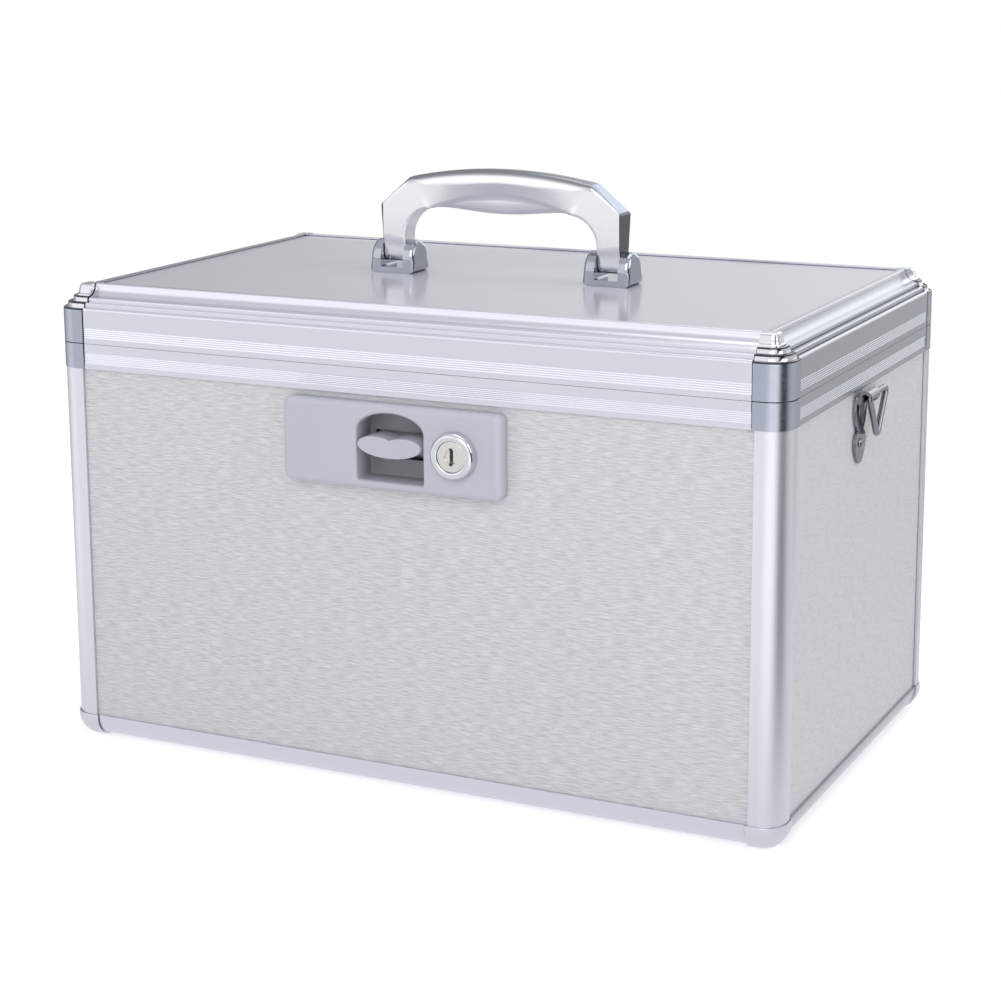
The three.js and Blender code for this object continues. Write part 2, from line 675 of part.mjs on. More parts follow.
// Return spring: a coil that stands on the lever's tail, under the housing's roof
const springRadius = 2.6;
const springWire = 0.45;
const springTurns = 6;
const springStepsPerTurn = 7;
const springLength = roofZ - tailTopZ - 2 * slip;
class Helix extends THREE.Curve {
  constructor(radius, height, turns) {
    super();
    this.radius = radius;
    this.height = height;
    this.turns = turns;
  }

  getPoint(t, target = new THREE.Vector3()) {
    const turn = 2 * Math.PI * this.turns * t;
    return target.set(this.radius * Math.cos(turn), this.radius * Math.sin(turn), this.height * t);
  }
}

function latchSpring() {
  const wire = new THREE.Shape();
  wire.absarc(0, 0, springWire, 0, Math.PI * 2);
  const coil = new THREE.ExtrudeGeometry(wire, {
    steps: springTurns * springStepsPerTurn, curveSegments: 3, bevelEnabled: false,
    extrudePath: new Helix(springRadius, springLength - 2 * springWire, springTurns),
  });
  return coil.translate(0, pivotY + tailLength / 2 + springRadius / 2, tailTopZ + slip + springWire);
}

add(caseGroup, 'latch_spring', latchSpring(), finishes.steel);

// Lock: a domed bezel with its barrel, the turning plug with its keyway, and the cam on its tail
const bezelRadius = 9.5;
const bezelRise = 4;
const bezelEdge = 1.2;
const plugFaceRadius = 6.1;
const plugFaceDepth = 2.4;
const plugFaceSet = 0.5;
const plugRadius = 5.4;
const plugChamfer = 0.4;
const barrelLength = 20;
const plugTailRadius = 2.5;
const keywayWidth = 1.5;
const keywayHeight = 7;
const keywayDepth = 8;
const keyDimpleRadius = 2.7;
const keyDimpleDepth = 0.6;
const camHeadRadius = 5;
const camReach = lockX - bossReach - camTipGap;
const bezelFrontY = plateFaceY - bezelRise;
const barrelBackY = plateFaceY + barrelLength;
const bezelSeatY = plateFaceY - runningGap / 2;
const counterboreY = bezelFrontY + plugFaceSet + plugFaceDepth + slip;
function turned(profile, segments) {
  const points = profile.map(([radius, y]) => new THREE.Vector2(radius, y));
  return outward(closeSeam(new THREE.LatheGeometry(points, segments))).translate(lockX, 0, latchZ);
}

// A lathe's first and last meridians share one set of vertices once they are merged
function closeSeam(geometry) {
  geometry.deleteAttribute('normal');
  geometry.deleteAttribute('uv');
  return mergeVertices(geometry, 1e-5);
}

function lockBody() {
  const bore = plugRadius + runningGap;
  const faceBore = plugFaceRadius + runningGap;
  const domeStep = (bezelRadius - faceBore) / 3;
  const profile = [
    [faceBore, bezelFrontY + runningGap], [faceBore + domeStep, bezelFrontY],
    [faceBore + 2 * domeStep, bezelFrontY + bezelEdge / 2], [bezelRadius, bezelSeatY - bezelEdge],
    [bezelRadius, bezelSeatY], [barrelRadius, bezelSeatY], [barrelRadius, barrelBackY],
    [bore, barrelBackY], [bore, counterboreY], [faceBore, counterboreY],
  ];
  return turned([...profile, profile[0]], 28);
}

const camBackY = camY + plateStock;
function lockPlug() {
  const faceY = bezelFrontY + plugFaceSet;
  const plug = turned([
    [0, faceY], [plugFaceRadius - plugChamfer, faceY], [plugFaceRadius, faceY + plugChamfer],
    [plugFaceRadius, faceY + plugFaceDepth], [plugRadius, faceY + plugFaceDepth],
    [plugRadius, barrelBackY], [plugTailRadius, barrelBackY],
    [plugTailRadius, camBackY + plateStock], [0, camBackY + plateStock],
  ], 28);
  const keyway = block([lockX - keywayWidth / 2, faceY - overrun, latchZ - keywayHeight / 2],
    [lockX + keywayWidth / 2, faceY + keywayDepth, latchZ + keywayHeight / 2]);
  const dimple = rod('y', keyDimpleRadius, faceY - overrun, faceY + keyDimpleDepth, [lockX, latchZ], 16);
  return cut(plug, keyway, dimple);
}

// At rest the cam hangs down, unlocked; a quarter turn brings it over the lever's lug
function lockCam() {
  const shape = new THREE.Shape();
  shape.absarc(lockX, latchZ, camHeadRadius, 0, Math.PI, false);
  shape.lineTo(lockX - camHalfWidth, latchZ - camReach);
  shape.lineTo(lockX + camHalfWidth, latchZ - camReach);
  shape.lineTo(lockX + camHeadRadius, latchZ);
  const hole = new THREE.Path();
  hole.absarc(lockX, latchZ, plugTailRadius + runningGap, 0, Math.PI * 2, true);
  shape.holes.push(hole);
  return frontal(shape, camY, camBackY, 6);
}

add(caseGroup, 'lock_body', lockBody(), finishes.chrome);
add(caseGroup, 'lock_plug', lockPlug(), finishes.nickel);
add(caseGroup, 'lock_cam', lockCam(), finishes.steel);

// Strap anchors and rings on the two side walls
const anchorY = -8;
const anchorStock = 1.4;
const anchorHeight = 27.4;
const ringWire = 1.3;
const ringWidth = 23.7;
const ringDrop = 18.5;
const ringBend = 1.6;
const ringStandoff = 4.65;
const ringBelowRim = 2.4;
const ringSwing = 45;
const ringLead = 0.7;
const rollWall = 1.3;
const rollLength = 12;
const rollClosedFrom = 3.8;
const leafHalfWidth = 7;
const waistHalfWidth = 3.5;
const headHalfWidth = 7.5;
const anchorWindowHalf = 3.5;
const anchorWindowHeight = 7.5;
const ringZ = rimBottomZ - ringBelowRim;
const wallFaceX = halfWidth - boardFace;
const ringX = wallFaceX + ringStandoff;
const ringFrontY = anchorY - ringLead;
const rollRadius = ringWire + runningGap + rollWall;
// Levels of the anchor's outline, as shares of its height from the roll down to the leaf's toe
const headShare = 0.19;
const windowShare = 0.24;
const waistShare = 0.51;
const leafShare = 0.66;
const neckShare = (headShare + waistShare) / 2;
const flareShare = (waistShare + leafShare) / 2;
const toeShare = (leafShare + 1) / 2;

function anchorShape() {
  const at = (across, share) => [anchorY + across, ringZ - anchorHeight * share];
  const half = rollLength / 2;
  const shape = new THREE.Shape();
  shape.moveTo(...at(-half, 0));
  shape.quadraticCurveTo(...at(-headHalfWidth, headShare / 2), ...at(-headHalfWidth, headShare));
  shape.quadraticCurveTo(...at(-headHalfWidth, neckShare), ...at(-waistHalfWidth, waistShare));
  shape.quadraticCurveTo(...at(-leafHalfWidth, flareShare), ...at(-leafHalfWidth, leafShare));
  shape.quadraticCurveTo(...at(-leafHalfWidth, toeShare), ...at(-waistHalfWidth / 2, 1));
  shape.lineTo(...at(waistHalfWidth / 2, 1));
  shape.quadraticCurveTo(...at(leafHalfWidth, toeShare), ...at(leafHalfWidth, leafShare));
  shape.quadraticCurveTo(...at(leafHalfWidth, flareShare), ...at(waistHalfWidth, waistShare));
  shape.quadraticCurveTo(...at(headHalfWidth, neckShare), ...at(headHalfWidth, headShare));
  shape.quadraticCurveTo(...at(headHalfWidth, headShare / 2), ...at(half, 0));
  const window = new THREE.Path();
  window.absellipse(...at(0, windowShare), anchorWindowHalf, anchorWindowHeight / 2, 0, Math.PI * 2, true);
  shape.holes.push(window);
  return shape;
}

// The roll is closed behind the ring's corner and open below it, so the ring can swing out
function strapAnchor(side) {
  const [lowY, highY] = [anchorY - rollLength / 2, anchorY + rollLength / 2];
  const closedY = ringFrontY + rollClosedFrom;
  const clear = ringWire + slip;
  const reach = 2 * rollRadius;
  const turn = THREE.MathUtils.degToRad(ringSwing);
  const [alongX, alongZ] = [Math.sin(turn), -Math.cos(turn)];
  const opening = new THREE.Shape([
    [-clear, 0], [-clear, -reach], [reach, -reach],
    [-clear * alongZ + reach * alongX, clear * alongX + reach * alongZ],
    [-clear * alongZ, clear * alongX],
  ].map(([x, z]) => new THREE.Vector2(side * (ringX + x), ringZ + z)));
  const [near, far] = [wallFaceX + seam, wallFaceX + seam + anchorStock].map((x) => side * x);
  const plate = lateral(anchorShape(), Math.min(near, far), Math.max(near, far), 4);
  const roll = rod('y', rollRadius, lowY, highY, [side * ringX, ringZ], 20);
  const web = block([Math.min(near, side * ringX), lowY, ringZ - rollRadius],
    [Math.max(near, side * ringX), highY, ringZ]);
  const bore = rod('y', ringWire + runningGap, lowY - overrun, highY + overrun, [side * ringX, ringZ], 16);
  const pocket = rod('y', clear, lowY - overrun, closedY, [side * ringX, ringZ], 16);
  return cut(join(plate, roll, web), bore, pocket, frontal(opening, lowY - overrun, closedY));
}

// Triangular ring: a closed loop of round wire bent round three corners, its top bar in the roll
function strapRing(side) {
  const [wireSides, bendSteps] = [10, 3];
  const slope = Math.atan2(ringWidth / 2, ringDrop);
  const inY = (ringBend * (1 + Math.sin(slope))) / Math.cos(slope);
  const bends = [
    [ringFrontY + ringWidth - inY, ringZ - ringBend, Math.PI / 2, -slope],
    [ringFrontY + ringWidth / 2, ringZ - ringDrop + ringBend / Math.sin(slope), -slope, slope - Math.PI],
    [ringFrontY + inY, ringZ - ringBend, slope - Math.PI, -1.5 * Math.PI],
  ];
  const positions = [];
  for (const [y, z, from, to] of bends) {
    for (let step = 0; step <= bendSteps; step += 1) {
      const turn = from + ((to - from) * step) / bendSteps;
      for (let i = 0; i < wireSides; i += 1) {
        const around = (2 * Math.PI * i) / wireSides;
        const out = ringBend + ringWire * Math.cos(around);
        const x = side * (ringX + ringWire * Math.sin(around));
        positions.push(x, y + out * Math.cos(turn), z + out * Math.sin(turn));
      }
    }
  }
  const stations = positions.length / (3 * wireSides);
  const faces = [];
  for (let station = 0; station < stations; station += 1) {
    const next = (station + 1) % stations;
    for (let i = 0; i < wireSides; i += 1) {
      const [a, b] = [station * wireSides + i, station * wireSides + ((i + 1) % wireSides)];
      const [c, d] = [next * wireSides + ((i + 1) % wireSides), next * wireSides + i];
      faces.push(a, b, c, a, c, d);
    }
  }
  const geometry = new THREE.BufferGeometry();
  geometry.setAttribute('position', new THREE.BufferAttribute(new Float32Array(positions), 3));
  geometry.setIndex(faces);
  return outward(geometry);
}

for (const [side, word] of [[-1, 'left'], [1, 'right']]) {
  add(caseGroup, `strap_anchor_${word}`, strapAnchor(side), finishes.chrome);
  add(caseGroup, `strap_ring_${word}`, strapRing(side), finishes.chrome);
}

// Stop hinges on the back: a leaf on the rim rail, a leaf on the lid rail, and the pin
const hingeFromEnd = 65;
const hingeWidth = 42;
const hingeKnuckles = 5;
const leafStock = 1.2;
const knuckleRadius = 2.6;
const hingePinRadius = 1.3;
const knuckleGap = 0.3;
const bodyLeafHeight = 9.6;
const lidLeafHeight = 12.6;
const lidOpenAngle = 100;
const stopLength = 5.4;
const hingeSpread = halfWidth - hingeFromEnd;
const hingeY = halfDepth + seam + knuckleRadius + seam;
const hingeZ = partingZ + partingGap / 2;
const leafNearY = halfDepth + seam;
const leafFarY = leafNearY + leafStock;
const knucklePitch = (hingeWidth + knuckleGap) / hingeKnuckles;

// One leaf: a plate on the rail plus every second knuckle; up is 1 for the lid's leaf and -1 for the body's
function hingeLeaf(centreX, up, height) {
  const lowX = centreX - hingeWidth / 2;
  const clearZ = hingeZ + up * (knuckleRadius + slip);
  const farZ = hingeZ + up * height;
  const pieces = [block([lowX, leafNearY, Math.min(clearZ, farZ)],
    [lowX + hingeWidth, leafFarY, Math.max(clearZ, farZ)])];
  for (let i = up > 0 ? 1 : 0; i < hingeKnuckles; i += 2) {
    const from = lowX + i * knucklePitch;
    const to = from + knucklePitch - knuckleGap;
    pieces.push(rod('x', knuckleRadius, from, to, [hingeY, hingeZ], 14));
    pieces.push(block([from, leafNearY, Math.min(hingeZ, clearZ + up * slip)],
      [to, leafFarY, Math.max(hingeZ, clearZ + up * slip)]));
    if (up > 0) pieces.push(stopWing(from, to));
  }
  const bore = rod('x', hingePinRadius + runningGap, lowX - overrun, lowX + hingeWidth + overrun,
    [hingeY, hingeZ], 14);
  return cut(join(...pieces), bore);
}

// The lid leaf's stop: once the lid is open it lies flat against the body leaf
function stopWing(from, to) {
  const nearY = leafFarY + slip - hingeY;
  const wing = block([from, nearY, -knuckleRadius - stopLength], [to, nearY + leafStock, -knuckleRadius / 2]);
  return wing.rotateX(THREE.MathUtils.degToRad(lidOpenAngle)).translate(0, hingeY, hingeZ);
}

for (const [side, word] of [[-1, 'left'], [1, 'right']]) {
  const centreX = side * hingeSpread;
  add(caseGroup, `hinge_body_leaf_${word}`, hingeLeaf(centreX, -1, bodyLeafHeight), finishes.steel);
  add(lidGroup, `hinge_lid_leaf_${word}`, hingeLeaf(centreX, 1, lidLeafHeight), finishes.steel);
  add(caseGroup, `hinge_pin_${word}`, rod('x', hingePinRadius, centreX - hingeWidth / 2,
    centreX + hingeWidth / 2, [hingeY, hingeZ], 14), finishes.steel);
}

// Handle: two brackets on the top board, a pin driven into each from the left as far as the skin its
// blind hole leaves, and the cast grip that folds between them
const handleSpan = 100;
const handlePivotRise = 8.5;
const handlePinRadius = 1.6;
const bracketWidth = 21;
const bracketDepth = 15;
const bracketHeight = 14;
const bracketShoulder = 5.5;
const bracketSlotFloor = 2.6;
const bracketPinSkin = 1.8;
const legWidth = 10.4;
const legHeadRadius = 4;
const legSpread = 0.6;
const gripShoulder = 7.5;
const gripEndRise = 41.5;
const gripRise = 46;
const facetRise = 29.5;
const gripHalfDepth = 5.4;
const gripBevel = 3;
const gripTopHalf = 2;
const innerCornerRadius = 13;
const innerCornerRise = 28.5;
const rimCentreRise = 34.8;
const bellyRise = 26.8;
const bellyHalfDepth = 4.4;
const gripStations = 20;
const bellySteps = 4;
const handleZ = topFaceZ + handlePivotRise;
const gripHalfLength = handleSpan / 2 - gripShoulder;
const innerHalf = handleSpan / 2 - legWidth / 2;
const cornerCentreX = innerHalf - innerCornerRadius;

function handleBracket(side) {
  const shape = new THREE.Shape();
  const half = bracketDepth / 2;
  shape.moveTo(half, topFaceZ + seam / 3);
  shape.lineTo(half, topFaceZ + bracketShoulder);
  shape.absellipse(0, topFaceZ + bracketShoulder, half, bracketHeight - bracketShoulder, 0, Math.PI, false);
  shape.lineTo(-half, topFaceZ + seam / 3);
  const [low, high] = [side * handleSpan / 2 - bracketWidth / 2, side * handleSpan / 2 + bracketWidth / 2];
  const blank = lateral(shape, low, high, 8);
  const slotHalf = legWidth / 2 + slip;
  const slot = block([side * handleSpan / 2 - slotHalf, -bracketDepth, topFaceZ + bracketSlotFloor],
    [side * handleSpan / 2 + slotHalf, bracketDepth, topFaceZ + bracketHeight + overrun]);
  const pinHole = rod('x', handlePinRadius + runningGap, low - overrun, high - bracketPinSkin,
    [0, handleZ], 16);
  return cut(blank, slot, pinHole);
}

// Rise of the grip's crown line and of its front rim's lower line above the top board
function gripTop(x) {
  return gripRise - (gripRise - gripEndRise) * (x / gripHalfLength) ** 2;
}

function gripRim(x) {
  const past = Math.abs(x) - cornerCentreX;
  if (past > 0) return innerCornerRise - innerCornerRadius + Math.sqrt(innerCornerRadius ** 2 - past ** 2);
  return rimCentreRise - (rimCentreRise - innerCornerRise) * (x / cornerCentreX) ** 2;
}

function gripBelly(x) {
  const share = Math.min(Math.abs(x) / cornerCentreX, 1);
  return bellyRise + (innerCornerRise - bellyRise) * share * share;
}

function gripSection(x) {
  const [top, rim] = [gripTop(x), gripRim(x)];
  const depth = Math.max(rim - gripBelly(x), tightRadius);
  const half = [[gripTopHalf, top], [gripHalfDepth, top - gripBevel], [gripHalfDepth, rim + tightRadius],
    [gripHalfDepth - tightRadius, rim]];
  for (let i = 0; i < bellySteps; i += 1) {
    const turn = (Math.PI / 2) * (i / bellySteps);
    half.push([bellyHalfDepth * Math.cos(turn), rim - depth * Math.sin(turn)]);
  }
  const other = half.map(([y, z]) => [-y, z]).reverse();
  return [...half, [0, rim - depth], ...other];
}

// Rings of (y, z) points carried along X
function gripBar() {
  const positions = [];
  const faces = [];
  const count = gripSection(0).length;
  for (let station = 0; station <= gripStations; station += 1) {
    const x = gripHalfLength * Math.sin(Math.PI * (station / gripStations - 0.5));
    for (const [y, z] of gripSection(x)) positions.push(x, y, topFaceZ + z);
  }
  for (let station = 0; station < gripStations; station += 1) {
    for (let i = 0; i < count; i += 1) {
      const a = station * count + i;
      const b = station * count + ((i + 1) % count);
      faces.push(a, b, b + count, a, b + count, a + count);
    }
  }
  const last = gripStations * count;
  for (let i = 1; i + 1 < count; i += 1) faces.push(0, i + 1, i, last, last + i, last + i + 1);
  const geometry = new THREE.BufferGeometry();
  geometry.setAttribute('position', new THREE.BufferAttribute(new Float32Array(positions), 3));
  geometry.setIndex(faces);
  return outward(geometry);
}

// Leg with its outer facet and inner fillet, tapering in depth down to the round head on the pin
function handleLeg(side) {
  const legX = handleSpan / 2;
  const joinX = gripHalfLength - tightRadius;
  const bottom = handlePivotRise - legHeadRadius;
  const outerX = legX + legWidth / 2;
  const shape = new THREE.Shape();
  shape.moveTo(side * joinX, topFaceZ + gripTop(joinX));
  shape.lineTo(side * gripHalfLength, topFaceZ + gripEndRise);
  shape.lineTo(side * (outerX + legSpread), topFaceZ + facetRise);
  shape.lineTo(side * outerX, topFaceZ + bottom);
  shape.lineTo(side * innerHalf, topFaceZ + bottom);
  const arcSteps = 6;
  const startTurn = Math.acos((joinX - cornerCentreX) / innerCornerRadius);
  for (let i = 0; i <= arcSteps; i += 1) {
    const turn = startTurn * (i / arcSteps);
    shape.lineTo(side * (cornerCentreX + innerCornerRadius * Math.cos(turn)),
      topFaceZ + innerCornerRise - innerCornerRadius + innerCornerRadius * Math.sin(turn));
  }
  const face = frontal(shape, -gripHalfDepth, gripHalfDepth);
  const profile = new THREE.Shape();
  profile.absarc(0, handleZ, legHeadRadius, -Math.PI, 0, false);
  profile.lineTo(legHeadRadius, handleZ + legHeadRadius);
  profile.lineTo(gripHalfDepth, topFaceZ + facetRise);
  profile.lineTo(gripHalfDepth, topFaceZ + gripRise);
  profile.lineTo(-gripHalfDepth, topFaceZ + gripRise);
  profile.lineTo(-gripHalfDepth, topFaceZ + facetRise);
  profile.lineTo(-legHeadRadius, handleZ + legHeadRadius);
  const reach = outerX + overrun;
  return common(face, lateral(profile, side > 0 ? 0 : -reach, side > 0 ? reach : 0, 6));
}

function handleGrip() {
  const reach = handleSpan / 2 + legWidth;
  const bore = rod('x', handlePinRadius + runningGap, -reach, reach, [0, handleZ], 16);
  return cut(join(gripBar(), handleLeg(-1), handleLeg(1)), bore);
}

const handleGroup = new THREE.Group();
add(handleGroup, 'handle_grip', handleGrip(), finishes.chrome);
for (const [side, word] of [[-1, 'left'], [1, 'right']]) {
  add(lidGroup, `handle_bracket_${word}`, handleBracket(side), finishes.chrome);
  add(lidGroup, `handle_pin_${word}`, rod('x', handlePinRadius, side * handleSpan / 2 - bracketWidth / 2,
    side * handleSpan / 2 + bracketWidth / 2 - bracketPinSkin - slip, [0, handleZ], 16), finishes.steel);
}

// Lift-out tray: hangs by its flange on the rim rails, with a bay in front for the latch
const trayDepth = 46;
const trayWall = 1.5;
const trayFlange = 1.6;
const trayFlangeInset = 0.5;
const trayWallGap = 1.8;
const bayHalfWidth = 46;
const bayDepth = 31;
const bayLip = 3;
const cellRadius = 6;
const trayTopZ = partingZ + seam / 3 + trayFlange;
const trayFloorZ = trayTopZ - trayDepth;
const flangeReachInset = tongueInset + tongueThickness + trayFlangeInset;
const trayWallInset = railLeg + trayWallGap;

// Plan outline with rounded corners and a bay left open in the middle of the front
function bayedShape(inset, lip, radius) {
  const [x, y] = [halfWidth - inset, halfDepth - inset];
  const [bayX, bayY] = [bayHalfWidth + lip, -halfDepth + bayDepth + lip];
  const quarter = Math.PI / 2;
  const shape = new THREE.Shape();
  shape.moveTo(-bayX, bayY);
  shape.lineTo(bayX, bayY);
  shape.lineTo(bayX, -y);
  shape.absarc(x - radius, -y + radius, radius, -quarter, 0, false);
  shape.absarc(x - radius, y - radius, radius, 0, quarter, false);
  shape.absarc(-x + radius, y - radius, radius, quarter, 2 * quarter, false);
  shape.absarc(-x + radius, -y + radius, radius, 2 * quarter, 3 * quarter, false);
  shape.lineTo(-bayX, -y);
  shape.lineTo(-bayX, bayY);
  return shape;
}

function tray() {
  const flange = raise(bayedShape(flangeReachInset, 0, edgeRadius), trayTopZ - trayFlange, trayTopZ);
  const outline = bayedShape(trayWallInset, bayLip, cellRadius + trayWall);
  const tub = raise(outline, trayFloorZ, trayTopZ - trayFlange / 2);
  const [outX, outY] = [halfWidth - trayWallInset - trayWall, halfDepth - trayWallInset - trayWall];
  const sideInX = bayHalfWidth + bayLip + trayWall;
  const middleInX = bayHalfWidth + bayLip - trayWall / 2;
  const bayBackY = -halfDepth + bayDepth + bayLip + trayWall;
  const cells = [];
  const cell = (lowX, highX, lowY, highY) => {
    const plan = roundedShape((lowX + highX) / 2, (lowY + highY) / 2, (highX - lowX) / 2, (highY - lowY) / 2,
      cellRadius);
    cells.push(raise(plan, trayFloorZ + trayWall, trayTopZ + overrun, 2));
  };
  for (const side of [-1, 1]) {
    const [lowX, highX] = side > 0 ? [sideInX, outX] : [-outX, -sideInX];
    cell(lowX, highX, -outY, -trayWall / 2);
    cell(lowX, highX, trayWall / 2, outY);
    const [midLow, midHigh] = side > 0 ? [trayWall / 2, middleInX] : [-middleInX, -trayWall / 2];
    cell(midLow, midHigh, bayBackY, outY);
  }
  return cut(join(flange, tub), ...cells);
}

add(caseGroup, 'inner_tray', tray(), finishes.liner);

// The origin lies under the middle of the whole box, latch and hinges included
const frontReach = -bezelFrontY;
const stopTurn = THREE.MathUtils.degToRad(lidOpenAngle);
const stopReach = (knuckleRadius + stopLength) * Math.sin(stopTurn)
  + (leafFarY + slip - hingeY + leafStock) * Math.cos(stopTurn);
const backReach = hingeY + stopReach;
const lockBox = new THREE.Group();
lockBox.add(caseGroup, lidGroup, handleGroup);
lockBox.position.y = (frontReach - backReach) / 2;
lockBox.updateMatrixWorld(true);

export default lockBox;
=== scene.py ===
"""Medication lock box: the picture model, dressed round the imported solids."""
import math

import bmesh
import bpy
import numpy as np
from mathutils import Matrix, Vector


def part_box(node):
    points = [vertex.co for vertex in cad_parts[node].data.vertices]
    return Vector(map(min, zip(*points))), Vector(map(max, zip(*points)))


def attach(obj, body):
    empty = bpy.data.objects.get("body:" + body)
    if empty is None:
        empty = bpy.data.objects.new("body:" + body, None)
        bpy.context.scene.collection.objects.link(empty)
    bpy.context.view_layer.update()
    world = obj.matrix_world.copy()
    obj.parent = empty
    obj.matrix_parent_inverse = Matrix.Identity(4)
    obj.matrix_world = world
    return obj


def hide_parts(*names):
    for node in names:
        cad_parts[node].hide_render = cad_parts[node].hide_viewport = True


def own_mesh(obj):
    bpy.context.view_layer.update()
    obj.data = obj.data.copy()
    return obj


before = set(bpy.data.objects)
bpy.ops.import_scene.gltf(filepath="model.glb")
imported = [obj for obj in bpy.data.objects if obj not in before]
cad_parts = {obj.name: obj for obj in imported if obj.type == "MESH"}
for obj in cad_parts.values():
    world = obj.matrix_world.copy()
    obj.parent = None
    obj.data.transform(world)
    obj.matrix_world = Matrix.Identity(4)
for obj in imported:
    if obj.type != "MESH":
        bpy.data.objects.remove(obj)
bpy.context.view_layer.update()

scene = bpy.context.scene
scene.view_settings.view_transform = "Standard"

# Camera and studio: the camera stands in front and to the right, a little above the lid. The floor
# and backdrop are one pale sweep under big soft lamps. What the metal mirrors is set apart from
# what the eye sees: a ring of walls round the box, light in front and dark at the right.
wall_low, wall_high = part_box("wall_board_front")[0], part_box("wall_board_back")[1]
middle_y = (wall_low.y + wall_high.y) / 2

camera_data = bpy.data.cameras.new("studio_camera")
camera = bpy.data.objects.new("studio_camera", camera_data)
scene.collection.objects.link(camera)
scene.camera = camera
azimuth, elevation, roll = (math.radians(turn) for turn in (26.235, 11.46, -0.374))
camera_back = Vector((math.sin(azimuth) * math.cos(elevation), -math.cos(azimuth) * math.cos(elevation),
                      math.sin(elevation)))
level_right = Vector((math.cos(azimuth), math.sin(azimuth), 0))
level_up = camera_back.cross(level_right)
camera_right = level_right * math.cos(roll) + level_up * math.sin(roll)
camera_up = level_up * math.cos(roll) - level_right * math.sin(roll)
camera_turn = Matrix((camera_right, camera_up, camera_back)).transposed()
camera.matrix_world = Matrix.Translation((0.4168, -0.8694 + middle_y, 0.3385)) @ camera_turn.to_4x4()
camera_data.sensor_width = 36
camera_data.lens = 82.49
camera_data.shift_x, camera_data.shift_y = 0.0205, -0.1004
camera_data.clip_start, camera_data.clip_end = 0.02, 60


def linear(code):
    """An sRGB colour written as six hex digits becomes linear red, green, blue and an alpha of 1."""
    levels = np.array([int(code[i:i + 2], 16) for i in (0, 2, 4)]) / 255
    return (*np.where(levels <= 0.04045, levels / 12.92, ((levels + 0.055) / 1.055) ** 2.4), 1)


def lay(tree, kind, sockets=None, **settings):
    """Adds one node: settings go on the node and numbers on its sockets, and an output, or a node's first
    output, is linked in."""
    made = tree.nodes.new("ShaderNode" + kind)
    for key, value in settings.items():
        setattr(made, key, value)
    for key, value in (sockets or {}).items():
        value = value.outputs[0] if isinstance(value, bpy.types.Node) else value
        if isinstance(value, bpy.types.NodeSocket):
            tree.links.new(value, made.inputs[key])
        else:
            made.inputs[key].default_value = value
    return made


def blank(name):
    """A material with an empty tree, and the place on the piece in metres for its patterns."""
    material = bpy.data.materials.new(name)
    material.use_nodes = True
    material.node_tree.nodes.clear()
    return material, material.node_tree, lay(material.node_tree, "TexCoord").outputs["Object"]


def coat(tree, tone, rough, relief, strength, depth, **gloss):
    """The last nodes of a finish: tone, roughness, relief with its depth in metres, and its other sockets."""
    bump = lay(tree, "Bump", {"Height": relief, "Strength": strength, "Distance": depth})
    sockets = {key.replace("_", " "): value for key, value in gloss.items()}
    shader = lay(tree, "BsdfPrincipled", {"Base Color": tone, "Roughness": rough, "Normal": bump, **sockets})
    lay(tree, "OutputMaterial", {"Surface": shader})


sweep_radius = 9.0
sweep_rings, sweep_spokes = 24, 96
reach = sweep_radius * np.linspace(0, 1, sweep_rings + 1)[1:] ** 2
turn = 2 * math.pi * np.arange(sweep_spokes) / sweep_spokes
floor_points = np.stack([np.outer(reach, np.cos(turn)), np.outer(reach, np.sin(turn)),
                         np.zeros((sweep_rings, sweep_spokes))], -1).reshape(-1, 3)
index = np.arange(sweep_rings * sweep_spokes).reshape(sweep_rings, sweep_spokes)
floor_quads = np.stack([index[:-1], index[1:], np.roll(index[1:], -1, 1), np.roll(index[:-1], -1, 1)], -1)
floor_mesh = bpy.data.meshes.new("studio_floor")
floor_mesh.from_pydata(floor_points.tolist(), [], [*floor_quads.reshape(-1, 4).tolist(), index[0].tolist()])
studio_floor = bpy.data.objects.new("studio_floor", floor_mesh)
scene.collection.objects.link(studio_floor)


def surround(tree, direction, stops):
    """The studio all round as brightness by compass turn, atan2(x, -y): each stop is (degrees from the front
    towards the right, brightness), with straight runs from stop to stop. Gives it, and the height."""
    part = lay(tree, "SeparateXYZ", {0: direction})
    front = lay(tree, "Math", {0: part.outputs["Y"], 1: -1.0}, operation="MULTIPLY")
    turn = lay(tree, "Math", {0: part.outputs["X"], 1: front}, operation="ARCTAN2")
    share = lay(tree, "MapRange", {"Value": turn, "From Min": -math.pi, "From Max": math.pi})
    ramp = lay(tree, "ValToRGB", {"Fac": share})
    for place, (degrees, level) in enumerate(stops):
        stop = ramp.color_ramp.elements[place] if place < 2 else ramp.color_ramp.elements.new(1)
        stop.position = (degrees + 180) / 360
        stop.color = (level * 0.975, level * 0.985, level, 1)
    return ramp, part.outputs["Z"]


def looks(tree):
    """1 where the eye looks straight or through glass, and 1 where it looks in a mirror."""
    ray = lay(tree, "LightPath")
    straight = lay(tree, "Math", {0: ray.outputs["Is Camera Ray"], 1: ray.outputs["Is Transmission Ray"]},
                   operation="MAXIMUM")
    return straight, ray.outputs["Is Glossy Ray"]


